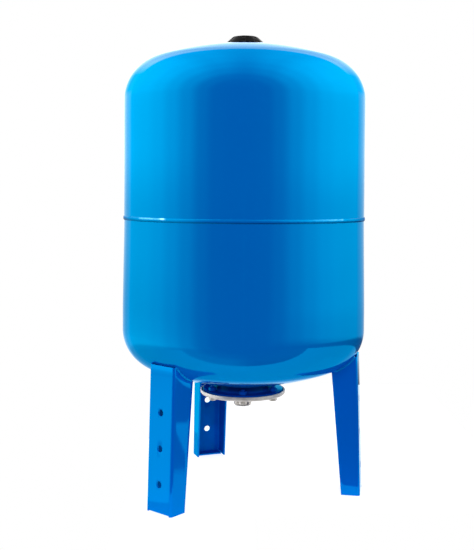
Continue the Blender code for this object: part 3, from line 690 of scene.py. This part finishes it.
# --- Bottom flange set ---------------------------------------------------------------------------
def bolt_places():
    turns = [math.radians(BOLT_FIRST + 360.0 * i / BOLT_COUNT) for i in range(BOLT_COUNT)]
    return [Matrix.Rotation(t, 4, "Z") @ Matrix.Translation((BOLT_CIRCLE, 0, 0)) for t in turns]


def drilled(obj, radius, z):
    """Cuts the bolt holes and shades the piece smooth again."""
    height = Matrix.Translation((0, 0, z))
    tools = [cylinder(radius, 0.03, place @ height, 32) for place in bolt_places()]
    for tool in tools:
        cut(obj, tool)
    apply_modifiers(obj)
    for tool in tools:
        bpy.data.objects.remove(tool)
    smooth(obj.data)
    return obj


def make_neck():
    top = under(NECK_BORE) - GAP
    corners = [(NECK_BORE, top), (NECK_RADIUS, top), (NECK_RADIUS, RING_TOP_Z, 0.0022)]
    corners += [(RING_RADIUS, RING_TOP_Z, 0.0008), (RING_RADIUS, RING_FOOT_Z, 0.0006)]
    corners += [(NECK_BORE, RING_FOOT_Z, 0.0005)]
    ring = revolved("neck_flange_fine", rounded(corners, 5), AROUND_FLANGE, NECK_SHADED_BLUE, closed=True)
    drilled(ring, BOLT_HOLE_RADIUS, RING_FOOT_Z)
    done(ring, "neck_flange")

    leg = 0.0042
    inner = NECK_RADIUS - 0.0004
    foot = under(NECK_RADIUS) - leg
    outline = [(inner, under(inner) + 0.0003), (NECK_RADIUS + leg, under(NECK_RADIUS + leg) + 0.0003)]
    for step in range(1, 6):
        share = step / 6
        bulge = 0.0009 * math.sin(math.pi * share)
        x = NECK_RADIUS + leg * (1 - share) + bulge * 0.7
        z = under(NECK_RADIUS + leg) + (foot - under(NECK_RADIUS + leg)) * share - bulge * 0.7
        outline.append((x, z))
    outline.append((inner, foot))

    def ripple(turn, radius, z):
        share = max(0.0, (radius - NECK_RADIUS) / leg)
        return 0.00022 * share * math.sin(turn * NECK_RADIUS / 0.0015 + z * 900)

    turned("neck_weld", warped(outline, ripple), 360, WELD_BLUE)


def make_dish():
    """Pressed counter flange: a shallow dish with a rolled rim around the bolting ring."""
    inside = DISH_RADIUS - DISH_SHEET
    floor = DISH_LOW.z + DISH_SHEET
    hole = STUB_CREST + GAP
    swell = 0.0005  # the rim's rolled edge is a little thicker than the sheet
    corners = [(hole, floor, 0.0005), (inside, floor, 0.0014), (inside, DISH_HIGH.z - 0.0026, 0.0010)]
    corners += [(inside - swell, DISH_HIGH.z - 0.0012, 0.0006), (inside - swell, DISH_HIGH.z, 0.0010)]
    corners += [(DISH_RADIUS, DISH_HIGH.z, 0.0010), (DISH_RADIUS, DISH_LOW.z, 0.0034)]
    corners += [(hole, DISH_LOW.z, 0.0005)]

    def wave(turn, radius, z):
        share = max(0.0, radius / DISH_RADIUS - 0.9) * 10.0
        return share * 0.00025 * noise.noise(Vector((math.cos(turn) * 4, math.sin(turn) * 4, 2.0)))

    rows = warped(rounded(corners, 6), wave)
    dish = revolved("counter_flange_fine", rows, AROUND_FLANGE, ZINC, closed=True)
    drilled(dish, BOLT_HOLE_RADIUS, DISH_LOW.z)
    done(dish, "counter_flange")


def thread_radius(turn, z, root, crest, pitch):
    """Radius of a rounded vee thread: a triangle wave that climbs one pitch a turn."""
    phase = (z / pitch - turn / math.tau) % 1.0
    height = 1.0 - abs(2.0 * phase - 1.0)
    height = min(1.0, max(0.0, (height - 0.10) / 0.80))
    return root + (crest - root) * height


def thread_rows(low, high, root, crest, pitch, fade_low, fade_high, per_pitch=8):
    """Rows of a thread between two heights, cut down to its root where it fades at either end."""
    count = math.ceil((high - low) / pitch * per_pitch)

    def row(z):
        limit = crest
        if fade_low:
            limit = min(limit, root - 0.0002 + (z - low) * 0.9)
        if fade_high:
            limit = min(limit, root - 0.0002 + (high - z) * 0.9)
        return lambda turn: (min(limit, thread_radius(turn, z, root, crest, pitch)), z)

    return [row(low + (high - low) * i / count) for i in range(count + 1)]


def make_stub():
    """Threaded pipe stub with a head inside the dish and a chamfered end."""
    head_foot = DISH_LOW.z + DISH_SHEET + GAP
    head_radius = 0.0215
    plain_foot = DISH_LOW.z - 0.0034
    end = STUB_LOW.z
    rows = [(STUB_BORE, STUB_HIGH.z), (head_radius - 0.0004, STUB_HIGH.z)]
    rows += [(head_radius, STUB_HIGH.z - 0.0004), (head_radius, head_foot), (STUB_CREST, head_foot)]
    rows += [(STUB_CREST, plain_foot)]
    rows += thread_rows(end + 0.0004, plain_foot, STUB_ROOT, STUB_CREST, STUB_PITCH, True, True)[::-1]
    rows += [(STUB_ROOT - 0.0006, end), (STUB_BORE + 0.0006, end), (STUB_BORE, end + 0.0006)]
    rows += [(STUB_BORE, end + 0.010)]
    turned("connection_nozzle", rows, 120, STEEL, piece="connection_stub")

    leg = 0.0030
    top = DISH_LOW.z + 0.0002
    inner = STUB_CREST - 0.0003
    outline = [(inner, top), (STUB_CREST + leg, top), (STUB_CREST + 0.72 * leg, top - 0.42 * leg)]
    outline += [(STUB_CREST + 0.40 * leg, top - 0.78 * leg), (inner, top - leg)]

    def ripple(turn, radius, z):
        return 0.00020 * max(0.0, radius - STUB_CREST) / leg * math.sin(turn * 44.0 + z * 1500.0)

    turned("nozzle_weld", warped(outline, ripple), 264, STEEL, piece="stub_weld")


def hex_radius(turn, flats):
    return flats / 2 / math.cos((turn + math.pi / 6) % (math.pi / 3) - math.pi / 6)


def hex_row(flats, z, slope=0.0, start=0.0, shrink=0.0):
    """A row on a hexagon. With a slope, its corners lie further along Z, as on a turned chamfer."""

    def row(turn):
        radius = hex_radius(turn, flats)
        return radius - shrink, z + slope * (radius - start)

    return row


def make_bolt(number, place):
    foot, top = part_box(f"flange_bolt_{number}")
    washer_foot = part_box(f"bolt_washer_{number}")[0].z
    head_top = washer_foot - GAP
    nut_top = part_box(f"weld_nut_{number}")[1].z
    circle = HEX_FLATS / 2 * 0.96
    rows = [(0.0035, foot.z + 0.0002), (0.0052, foot.z), (circle, foot.z)]
    rows += [hex_row(HEX_FLATS, foot.z, 0.55, circle), hex_row(HEX_FLATS, head_top - 0.0006)]
    rows += [hex_row(HEX_FLATS, head_top - 0.0002, shrink=0.0004)]
    rows += [(HEX_FLATS / 2 * 0.93, head_top), (BOLT_RADIUS + 0.0003, head_top)]
    rows += [(BOLT_RADIUS, head_top + 0.0003)]
    thread = (nut_top - 0.0010, top.z - 0.0002, BOLT_RADIUS - 0.0007, BOLT_RADIUS, BOLT_PITCH)
    rows += thread_rows(*thread, False, True)
    rows += [(BOLT_RADIUS - 0.0012, top.z)]
    bolt = revolved(f"flange_bolt_{number}_fine", rows, 48, ZINC, angle=28.0)
    # Above the nut the bolt carries the ring's blue paint, in the darker copy that paints shade.
    bolt.data.materials.append(SHADED_BLUE)
    for face in bolt.data.polygons:
        face.material_index = int(face.center.z > head_top + 0.004)
    moved(bolt, place)
    done(bolt, f"flange_bolt_{number}")


def make_washer(number, place):
    low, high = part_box(f"bolt_washer_{number}")
    outer = (high.x - low.x) / 2
    bore = BOLT_RADIUS + GAP
    corners = [(bore, high.z, 0.0002), (outer, high.z, 0.0005)]
    corners += [(outer, low.z, 0.0003), (bore, low.z, 0.0002)]
    washer = revolved(f"bolt_washer_{number}_fine", rounded(corners, 3), 48, ZINC, closed=True)
    moved(washer, place)
    done(washer, f"bolt_washer_{number}")


def make_nut(number, place):
    low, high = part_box(f"weld_nut_{number}")
    bore = BOLT_RADIUS + GAP
    circle = HEX_FLATS / 2 * 0.96
    rows = [(bore, low.z + 0.0004), (bore + 0.0004, low.z), (circle, low.z)]
    rows += [hex_row(HEX_FLATS, low.z, 0.55, circle), hex_row(HEX_FLATS, high.z, -0.55, circle)]
    rows += [(circle, high.z), (bore + 0.0005, high.z), (bore, high.z - 0.0005)]
    # The nuts take the darker enamel copy: real blue paint with painted shade.
    nut = revolved(f"weld_nut_{number}_fine", rows, 48, SHADED_BLUE, closed=True, angle=28.0)
    moved(nut, place)
    done(nut, f"weld_nut_{number}")


def make_fasteners():
    for number, place in enumerate(bolt_places(), 1):
        make_bolt(number, place)
        make_washer(number, place)
        make_nut(number, place)


# --- Membrane ------------------------------------------------------------------------------------
def make_membrane():
    """The bag, with four shallow moulded hoops around its side."""
    wall = 0.0025
    radius = BAG_HIGH.x
    neck = 0.0485
    knuckle = 0.0800
    crown_radius = 0.3000
    low_z = 0.3400
    high_z = 0.5600
    lip = 0.0600
    lip_top = BAG_LOW.z + 0.0022
    side = subdivided((radius, high_z), (radius, low_z), 40)
    hoops = [
        (x - 0.0012 * max(0.0, math.cos(math.tau * 4 * (z - low_z) / (high_z - low_z))) ** 6, z)
        for x, z in side
    ]
    outline = head(radius, high_z, knuckle, crown_radius, 0.002, 1, 10, 8)[::-1][:-1]
    outline += hoops
    outline += head(radius, low_z, knuckle, crown_radius, neck, -1, 10, 6)
    outline += [(neck, lip_top + 0.0012), (neck + 0.0012, lip_top), (lip - 0.0004, lip_top)]
    outline += [(lip, lip_top - 0.0004), (lip, BAG_LOW.z), (neck - wall, BAG_LOW.z)]
    inner = (knuckle - wall, crown_radius - wall)
    outline += head(radius - wall, low_z, *inner, neck - wall, -1, 8, 4)[::-1]
    outline += head(radius - wall, high_z, *inner, 0.002, 1, 8, 6)
    turned("membrane", outline, 96, RUBBER, closed=False)


# --- Legs ----------------------------------------------------------------------------------------
def leg_columns():
    """Across the unfolded channel: (share of the flange's depth, offset in the bend, across)."""
    half = LEG_WIDTH / 2
    columns = [(t, LEG_BEND, half) for t in (1.0, 0.8, 0.6, 0.4, 0.2, 0.07)]
    for step in range(7):
        swing = math.radians(90.0 * step / 6)
        offset = LEG_BEND * (1 - math.sin(swing))
        columns.append((0.0, offset, half - LEG_BEND * (1 - math.cos(swing))))
    tab = leg_tab_half()
    columns += [(0.0, 0.0, tab * (1 - step / 4)) for step in range(8)]
    mirrored = [(t, offset, -across) for t, offset, across in reversed(columns)]
    return columns[:-3] + mirrored[4:]


def leg_tab_half():
    """Half the width of the foot plate that is folded in from the web."""
    return LEG_WIDTH / 2 - LEG_BEND - 0.0006


def leg_point(column, z):
    share, offset, across = column
    reach = offset + share * (LEG_DEPTH + LEG_DEPTH_GAIN * z - LEG_BEND)
    return Vector((LEG_FOOT_RADIUS - LEG_LEAN * z - reach, across, z))


def leg_top(column):
    """Where a column ends: at the web's plain top edge, or just under the shell."""
    if column[0] == 0.0:
        return LEG_WEB_TOP_Z
    z = LEG_WEB_TOP_Z
    for _ in range(24):
        point = leg_point(column, z)
        z = under(math.hypot(point.x, point.y), 0.0005)
    return z


def leg_surface():
    """The outside of the folded sheet, as one open surface: channel, fold and foot plate."""
    solid = bmesh.new()
    columns = leg_columns()
    tab = leg_tab_half() + 0.00001
    fold_z = LEG_BEND
    rows_up = 14
    grid = []
    for column in columns:
        top = leg_top(column)
        heights = [fold_z + (top - fold_z) * i / rows_up for i in range(rows_up + 1)]
        grid.append([solid.verts.new(leg_point(column, z)) for z in heights])
    in_tab = [column[0] == 0.0 and column[1] == 0.0 and abs(column[2]) < tab for column in columns]
    feet = []
    for column, verts, inside in zip(columns, grid, in_tab):
        chain = [verts[0]]
        if inside:
            for step in range(1, 6):
                swing = math.radians(90.0 * step / 5)
                offset = LEG_BEND * (1 - math.cos(swing))
                z = LEG_BEND * (1 - math.sin(swing))
                x = LEG_FOOT_RADIUS - LEG_LEAN * fold_z - offset
                chain.append(solid.verts.new((x, column[2], z)))
            for step in range(1, 4):
                offset = LEG_BEND + (FOOT_REACH - LEG_BEND) * step / 3
                x = LEG_FOOT_RADIUS - LEG_LEAN * fold_z - offset
                chain.append(solid.verts.new((x, column[2], 0.0)))
        else:
            chain.append(solid.verts.new(leg_point(column, fold_z / 2)))
            chain.append(solid.verts.new(leg_point(column, 0.0)))
        feet.append(chain)
    for i in range(len(columns) - 1):
        for one, two in zip(zip(grid[i], grid[i][1:]), zip(grid[i + 1], grid[i + 1][1:])):
            solid.faces.new((one[0], two[0], two[1], one[1]))
        if in_tab[i] == in_tab[i + 1]:
            a, b = feet[i], feet[i + 1]
            for j in range(len(a) - 1):
                solid.faces.new((a[j], a[j + 1], b[j + 1], b[j]))
    return solid


def make_leg(name, azimuth):
    solid = leg_surface()
    mesh = bpy.data.meshes.new(f"{name}_leg_fine")
    bmesh.ops.recalc_face_normals(solid, faces=solid.faces)
    solid.normal_update()
    web = max(solid.faces, key=lambda f: f.calc_center_median().x)
    if web.normal.x < 0:
        bmesh.ops.reverse_faces(solid, faces=solid.faces)
    solid.to_mesh(mesh)
    solid.free()
    leg = new_object(f"{name}_leg_fine", mesh, LEG_BLUE)
    thick = leg.modifiers.new("Sheet", "SOLIDIFY")
    thick.thickness = LEG_SHEET
    thick.offset = -1.0
    thick.use_even_offset = True
    # The sheet's inner side takes the darker enamel copy: painted shade.
    leg.data.materials.append(SHADED_BLUE)
    thick.material_offset = 1
    tools = []
    for z in LEG_HOLES_Z:
        place = Matrix.Translation((LEG_FOOT_RADIUS - LEG_LEAN * z, 0, z))
        place = place @ Matrix.Rotation(math.pi / 2 - math.atan(LEG_LEAN), 4, "Y")
        tools.append(cylinder(LEG_HOLE_RADIUS, 0.02, place, 48))
        cut(leg, tools[-1])
    edge = leg.modifiers.new("Edge", "BEVEL")
    edge.width = 0.0005
    edge.segments = 2
    edge.limit_method = "ANGLE"
    edge.angle_limit = math.radians(50)
    apply_modifiers(leg)
    for tool in tools:
        bpy.data.objects.remove(tool)
    smooth(leg.data, 30.0)
    moved(leg, Matrix.Rotation(math.radians(azimuth), 4, "Z"))
    done(leg, f"{name}_leg")


def make_leg_weld(name, azimuth, label, side, lumps):
    """Hand-laid fillet between a leg's flange and the shell, with overlapping ripples."""
    across = side * (LEG_WIDTH / 2 + 0.0006)
    count = 150
    start = 0.1745
    end = 0.2120
    pitch = 0.0034
    path = []
    for step in range(count + 1):
        along = start + (end - start) * math.sin(math.pi / 2 * step / count)
        path.append(Vector((along, across, under(math.hypot(along, across), 0.0008))))
    lengths = [0.0]
    for one, two in zip(path, path[1:]):
        lengths.append(lengths[-1] + (two - one).length)
    total = lengths[-1]
    seed = random.uniform(0.0, 50.0)
    drift = [noise.noise(Vector((seed, run * 160.0, 0.0))) for run in lengths]
    wobble = [noise.noise(Vector((seed + 7.0, run * 220.0, 0.0))) for run in lengths]
    path = [
        point + Vector((0.0, side * 0.0005 * lumps * w, -0.0005 * lumps * w))
        for point, w in zip(path, wobble)
    ]

    def radii(i, turn):
        run = lengths[i] / pitch + 0.35 * math.cos(turn) + seed
        scale = 1.0 - (run % 1.0)
        taper = min(1.0, (lengths[i] + 0.0006) / 0.003, (total - lengths[i] + 0.0006) / 0.003)
        size = 0.0024 * (1.0 + 0.10 * lumps * scale + 0.28 * lumps * drift[i])
        return size * math.sqrt(max(0.05, taper))

    weld = swept(f"{name}_leg_weld_{label}_fine", path, radii, 20, WELD_BLUE)
    moved(weld, Matrix.Rotation(math.radians(azimuth), 4, "Z"))
    done(weld, f"{name}_leg_weld_{label}")


def make_legs():
    lumps = {"left": 1.5, "right": 0.6, "rear": 1.0}
    for name, azimuth in LEG_AZIMUTHS.items():
        make_leg(name, azimuth)
        make_leg_weld(name, azimuth, "a", 1, lumps[name])
        make_leg_weld(name, azimuth, "b", -1, lumps[name])


# --- Air valve and covers ------------------------------------------------------------------------
def make_valve():
    bore = 0.0050
    corners = [(bore, BOSS_HIGH.z, 0.0004), (BOSS_HIGH.x, BOSS_HIGH.z, 0.0008)]
    corners += [(BOSS_HIGH.x, BOSS_LOW.z, 0.0005), (bore, BOSS_LOW.z, 0.0004)]
    turned("valve_boss", rounded(corners, 4), AROUND_SMALL, BLUE)

    radius = 0.00385
    inside = 0.00265
    shank = 0.0047
    collar_foot = BOSS_HIGH.z + GAP
    collar_top = collar_foot + 0.0020
    rows = [(inside, STEM_HIGH.z - 0.0004), (inside + 0.0004, STEM_HIGH.z)]
    rows += [(radius - 0.0006, STEM_HIGH.z)]
    low = collar_top + 0.0006
    high = STEM_HIGH.z - 0.0001
    rows += thread_rows(low, high, radius - 0.00042, radius, STEM_PITCH, True, True)[::-1]
    rows += [(radius - 0.0005, collar_top), hex_row(STEM_FLATS, collar_top, shrink=0.0002)]
    rows += [hex_row(STEM_FLATS, collar_top - 0.0002), hex_row(STEM_FLATS, collar_foot + 0.0002)]
    rows += [hex_row(STEM_FLATS, collar_foot, shrink=0.0002), (shank, collar_foot)]
    rows += [(shank, STEM_LOW.z + 0.0004), (shank - 0.0004, STEM_LOW.z), (inside, STEM_LOW.z)]
    turned("valve_stem", rows, 96, BRASS, angle=40.0)

    bore = 0.0017
    shoulder = CORE_LOW.z + 0.0015
    outer = CORE_HIGH.x
    rows = [(bore, CORE_HIGH.z), (outer - 0.0003, CORE_HIGH.z), (outer, CORE_HIGH.z - 0.0003)]
    thread = (CORE_HIGH.z - 0.004, CORE_HIGH.z - 0.0003, outer - 0.0003, outer, CORE_PITCH)
    rows += thread_rows(*thread, True, True)[::-1]
    rows += [(outer - 0.0004, CORE_HIGH.z - 0.0042), (outer - 0.0004, CORE_LOW.z + 0.0002)]
    rows += [(outer - 0.0006, CORE_LOW.z), (0.0010, CORE_LOW.z), (0.0010, shoulder), (bore, shoulder)]
    turned("valve_core", rows, 48, BRASS)


def make_valve_pin():
    radius = 0.00065
    collar_foot = PIN_HIGH.z - 0.0030
    cup_top = GASKET_LOW.z - GAP
    rows = [(0.0002, PIN_LOW.z), (radius - 0.0001, PIN_LOW.z), (radius, PIN_LOW.z + 0.0001)]
    rows += [(radius, cup_top - 0.0014), (0.0019, cup_top - 0.0014), (0.0021, cup_top - 0.0012)]
    rows += [(0.0021, cup_top), (radius, cup_top), (radius, collar_foot)]
    rows += [(0.0012, collar_foot), (0.0013, collar_foot + 0.0001), (0.0013, collar_foot + 0.0005)]
    rows += [(0.0012, collar_foot + 0.0006), (radius, collar_foot + 0.0006)]
    rows += [(radius, PIN_HIGH.z - 0.0003), (radius * 0.7, PIN_HIGH.z - 0.00005), (0.0001, PIN_HIGH.z)]
    turned("valve_pin", rows, 32, SPRING_STEEL, closed=False, body="valve_pin")

    corners = [(radius + GAP, GASKET_HIGH.z, 0.0001), (0.0020, GASKET_HIGH.z, 0.0003)]
    corners += [(0.0020, GASKET_LOW.z, 0.0002), (radius + GAP, GASKET_LOW.z, 0.0001)]
    turned("valve_gasket", rounded(corners, 4), 48, RUBBER, body="valve_pin")


def make_valve_spring():
    wire = 0.00018
    coil = 0.00125
    turns = 7
    per_turn = 24
    low = SPRING_LOW.z + wire
    high = SPRING_HIGH.z - wire
    count = turns * per_turn
    path = []
    for step in range(count + 1):
        share = step / count
        # The end coils lie flat, so the wire climbs only between them.
        climb = min(1.0, max(0.0, (share * turns - 0.8) / (turns - 1.6)))
        angle = math.tau * step / per_turn
        path.append(Vector((coil * math.cos(angle), coil * math.sin(angle), low + (high - low) * climb)))
    spring = swept("valve_spring_fine", path, lambda i, turn: wire, 10, SPRING_STEEL)
    done(spring, "valve_spring")
    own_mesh(spring)


def make_dust_cap():
    """Moulded cap with fine grip ribs and a closed top."""
    bore = 0.0042
    roof = DUST_HIGH.z - 0.0018
    ribs = 28
    outer = DUST_HIGH.x

    def ribbed(z, shrink=0.0):
        return lambda turn: (outer - shrink - 0.00018 * (0.5 + 0.5 * math.cos(ribs * turn)), z)

    rows = [(0.0008, roof), (bore - 0.0003, roof), (bore, roof - 0.0003), (bore, DUST_LOW.z + 0.0003)]
    rows += [(bore + 0.0003, DUST_LOW.z), (outer - 0.0008, DUST_LOW.z)]
    rows += [ribbed(DUST_LOW.z + 0.0003, 0.0002), ribbed(DUST_LOW.z + 0.0006)]
    rows += [ribbed(DUST_HIGH.z - 0.0012), ribbed(DUST_HIGH.z - 0.0007, 0.0001)]
    rows += [(outer - 0.0007, DUST_HIGH.z - 0.0002), (outer - 0.0012, DUST_HIGH.z)]
    rows += [(outer - 0.0022, DUST_HIGH.z), (outer - 0.0024, DUST_HIGH.z - 0.0002)]
    rows += [(0.0006, DUST_HIGH.z - 0.0002)]
    turned("dust_cap", rows, 224, PLASTIC, closed=False, body="dust_cap")


def scallop(turn):
    """1 in the middle of a grip groove and 0 between the grooves, with short slopes."""
    pitch = math.tau / COVER_SCALLOPS
    phase = (turn - math.radians(COVER_FIRST_SCALLOP) + pitch / 2) % pitch - pitch / 2
    width = math.radians(8.0)
    slope = math.radians(2.5)
    return min(1.0, max(0.0, (width - abs(phase)) / slope))


def make_protective_cap():
    """Low round cover: eight shallow grip grooves, a thin lip, and a sleeve inside."""
    radius = COVER_HIGH.x
    foot = COVER_LOW.z
    top = COVER_HIGH.z
    centre = (COVER_FLAT_RADIUS, top - COVER_ARC)
    shoulder = (0.0236, top - 0.0012, 0.0080)
    lip = (radius - 0.0003, foot + 0.0030, 0.0026)
    slope = rounded([(0.0120, top), shoulder, lip, (radius, foot + 0.0018)], 9, closed=False)
    inner_arc = COVER_ARC - COVER_WALL
    inner_edge = radius - COVER_WALL - 0.0005 - COVER_FLAT_RADIUS
    inner_lip = math.degrees(math.acos(inner_edge / inner_arc))
    roof = top - COVER_WALL
    sleeve = 0.0088
    sleeve_foot = crown(sleeve) + 2 * GAP

    def grooved(x, z, share):
        depth = 0.0009 * math.sin(math.pi * min(1.0, max(0.0, share))) ** 0.6
        away = Vector((x - centre[0], z - centre[1])).normalized()

        def row(turn):
            sink = depth * scallop(turn)
            return x - away.x * sink, z - away.y * sink

        return row

    rows = [(0.0010, top - 0.0003), (0.0100, top - 0.0003), (0.0106, top), (0.0120, top)]
    rows += [grooved(x, z, (step - 3) / 13) for step, (x, z) in enumerate(slope)]
    rows += [(radius, foot + 0.0020), (radius, foot + 0.0003), (radius - 0.0003, foot)]
    rows += [(radius - COVER_WALL + 0.0003, foot), (radius - COVER_WALL, foot + 0.0004)]
    rows += [(radius - COVER_WALL, foot + 0.0020)]
    rows += arc(centre, inner_arc, inner_lip, 90.0, 10)
    rows += [(sleeve + 0.0019, roof), (sleeve + 0.0015, roof - 0.0004)]
    rows += [(sleeve + 0.0015, sleeve_foot + 0.0003), (sleeve + 0.0012, sleeve_foot)]
    rows += [(sleeve + 0.0003, sleeve_foot), (sleeve, sleeve_foot + 0.0004), (sleeve, roof)]
    rows += [(0.0010, roof)]
    turned("protective_cap", rows, 288, PLASTIC, closed=False, angle=38.0, body="protective_cap")


# --- Stage, light and camera ---------------------------------------------------------------------
# The white board under the vessel, cut back in front of the right leg.
FLOOR_OUTLINE = [(-0.21, -0.33), (0.02, -0.33), (0.02, -0.15), (0.17, -0.12), (0.52, -0.12)]
FLOOR_OUTLINE += [(0.52, 0.90), (-0.21, 0.90)]
FLOOR_DEPTH = 0.012
FLOOR_GLOW = 0.84

# Brightness of the studio's panels by direction towards +Y, and what of it is left at each height.
PANELS = [(-1.0, 0.0), (-0.92, 0.08), (-0.82, 0.42), (-0.63, 1.30), (-0.40, 2.10), (-0.12, 2.80)]
PANELS += [(0.17, 3.10), (0.43, 3.05), (0.67, 2.95), (0.80, 2.25), (1.0, 1.75)]
PANEL_TURN = 0.06
LEFT_HEIGHTS = [(-1.0, 0.30), (-0.45, 0.40), (-0.36, 0.46), (-0.28, 0.70), (-0.20, 0.72)]
LEFT_HEIGHTS += [(-0.12, 0.60), (-0.03, 0.70), (0.05, 0.96), (0.20, 1.10), (0.6, 1.15), (1.0, 0.95)]
RIGHT_HEIGHTS = [(-1.0, 0.04), (-0.40, 0.10), (-0.21, 0.08), (-0.16, 0.46), (-0.09, 0.57)]
RIGHT_HEIGHTS += [(-0.03, 0.63), (0.05, 0.88), (0.20, 1.06), (0.6, 1.15), (1.0, 0.95)]
SIDES = [(-1.0, 0.0), (-0.2, 0.0), (0.2, 1.0), (1.0, 1.0)]  # from the left heights to the right ones
ROOF_SIDES = [(0.0, 0.45), (0.3, 0.66), (0.6, 0.90), (1.0, 1.0)]
ROOF_HEIGHTS = [(0.0, 0.0), (0.2, 0.0), (0.65, 1.0), (1.0, 1.0)]
CARD_STEPS = [(0.45, 1.235), (0.78, 0.09)]  # half widths and tops of the card, one metre behind
CARD_GLOW = 1.35
PAPER_EDGE = (-0.35, -0.45)  # the floor paper lies below this height and beyond this depth
PAPER_LEAN = 0.06
PAPER_GLOW = 1.15
FILL_GLOW = 0.43
STUDIO_MIDDLE = (0.0, 0.0, 0.45)

CAMERA_PLACE = (0.0, -1.7474, 0.5607)
CAMERA_YAW = 0.0075
CAMERA_DROP = 0.0386
CAMERA_ROLL = 0.0067
CAMERA_LENS = 60.616
CAMERA_SHIFT = -0.0909


def make_floor():
    solid = bmesh.new()
    top = [solid.verts.new((x, y, -0.00005)) for x, y in FLOOR_OUTLINE]
    low = [solid.verts.new((x, y, -FLOOR_DEPTH)) for x, y in FLOOR_OUTLINE]
    solid.faces.new(top)
    solid.faces.new(low[::-1])
    for i in range(len(top)):
        solid.faces.new((top[i - 1], low[i - 1], low[i], top[i]))
    shader = Shader("floor_white", Roughness=0.75, Specular_IOR_Level=0.2)
    tone = shader.mottled((0.48, 0.48, 0.48), (0.52, 0.52, 0.52), 6.0, 3.0)
    glow = {"Emission Color": (1.0, 1.0, 1.0, 1.0), "Emission Strength": FLOOR_GLOW}
    shader.feed(shader.bsdf, {"Base Color": tone} | glow)
    from_bmesh("floor", solid, shader.material)


def studio_card(sky, aside, ahead, up):
    """1 on the stepped card behind the vessel, and 0 beside it."""
    depth = sky.math("MAXIMUM", ahead, 0.001)
    across = sky.math("DIVIDE", aside, depth)
    tall = sky.math("DIVIDE", up, depth)
    steps = [
        sky.times(sky.math("LESS_THAN", across, reach), sky.math("LESS_THAN", tall, top))
        for reach, top in CARD_STEPS
    ]
    return sky.math("MAXIMUM", *steps)


def make_world():
    """A white studio: soft panels to the sides, a white card behind, dim towards the viewer.

    Mirror-like rays see the panels, the card and the floor paper; all other light is even.
    """
    world = bpy.data.worlds.new("studio")
    bpy.context.scene.world = world
    world.use_nodes = True
    world.node_tree.nodes.clear()
    sky = Graph(world.node_tree)
    place = sky.axes(sky.add("ShaderNodeTexCoord").outputs["Generated"])
    across, ahead, up = place["X"], place["Y"], place["Z"]
    aside = sky.math("ABSOLUTE", across)

    around = sky.curve(sky.math("MULTIPLY_ADD", across, PANEL_TURN, ahead), -1.0, 1.0, PANELS)
    left = sky.curve(up, -1.0, 1.0, LEFT_HEIGHTS)
    right = sky.curve(up, -1.0, 1.0, RIGHT_HEIGHTS)
    side = sky.curve(across, -1.0, 1.0, SIDES)
    height = sky.math("MULTIPLY_ADD", sky.math("SUBTRACT", right, left), side, left)
    roof = sky.curve(aside, 0.0, 1.0, ROOF_SIDES)
    high = sky.curve(up, 0.0, 1.0, ROOF_HEIGHTS)
    dimmed = sky.times(sky.math("SUBTRACT", 1.0, roof), high)
    panels = sky.times(sky.times(around, height), sky.math("SUBTRACT", 1.0, dimmed))

    card = sky.times(sky.times(studio_card(sky, aside, ahead, up), height), CARD_GLOW)
    leaning = sky.math("SUBTRACT", up, sky.times(across, PAPER_LEAN))
    low = sky.math("LESS_THAN", leaning, PAPER_EDGE[0])
    beyond = sky.math("GREATER_THAN", ahead, PAPER_EDGE[1])
    paper = sky.times(sky.times(low, beyond), PAPER_GLOW)
    glow = sky.math("MAXIMUM", sky.math("MAXIMUM", panels, card), paper)

    white = (1.0, 1.0, 1.0, 1.0)
    even, mirrored, shown = (
        sky.add("ShaderNodeBackground", white, strength).outputs[0] for strength in (FILL_GLOW, glow, 1.0)
    )
    rays = sky.add("ShaderNodeLightPath").outputs
    light = sky.mix(rays["Is Glossy Ray"], even, mirrored)
    whole = sky.mix(rays["Is Camera Ray"], light, shown)
    sky.add("ShaderNodeOutputWorld", Surface=whole)


def soft_box(name, place, width, height, power):
    """A soft light aimed at the vessel, which mirror-like rays don't see."""
    light = bpy.data.lights.new(name, "AREA")
    light.shape = "RECTANGLE"
    light.size = width
    light.size_y = height
    light.energy = power
    obj = bpy.data.objects.new(name, light)
    bpy.context.scene.collection.objects.link(obj)
    obj.location = place
    obj.rotation_euler = (Vector(STUDIO_MIDDLE) - Vector(place)).to_track_quat("-Z", "Y").to_euler()
    obj.visible_camera = False
    obj.visible_glossy = False


def make_camera():
    lens = bpy.data.cameras.new("camera")
    lens.sensor_width = 36.0
    lens.lens = CAMERA_LENS
    lens.shift_y = CAMERA_SHIFT
    lens.clip_start = 0.05
    lens.clip_end = 30.0
    obj = bpy.data.objects.new("camera", lens)
    bpy.context.scene.collection.objects.link(obj)
    yaw = Matrix.Rotation(CAMERA_YAW, 4, "Z")
    pitch = Matrix.Rotation(math.pi / 2 - CAMERA_DROP, 4, "X")
    roll = Matrix.Rotation(CAMERA_ROLL, 4, "Z")
    obj.matrix_world = Matrix.Translation(CAMERA_PLACE) @ yaw @ pitch @ roll
    bpy.context.scene.camera = obj


make_upper_shell()
make_lower_shell()
make_girth_weld()
make_neck()
make_dish()
make_stub()
make_fasteners()
make_membrane()
make_legs()
make_valve()
make_valve_pin()
make_valve_spring()
make_dust_cap()
make_protective_cap()
make_floor()
make_world()
soft_box("front_fill", (0.0, -2.4, 0.9), 1.8, 1.4, 34.0)
soft_box("top_fill", (0.0, 0.1, 2.6), 1.4, 1.0, 14.0)
make_camera()
bpy.context.scene.view_settings.view_transform = "Standard"
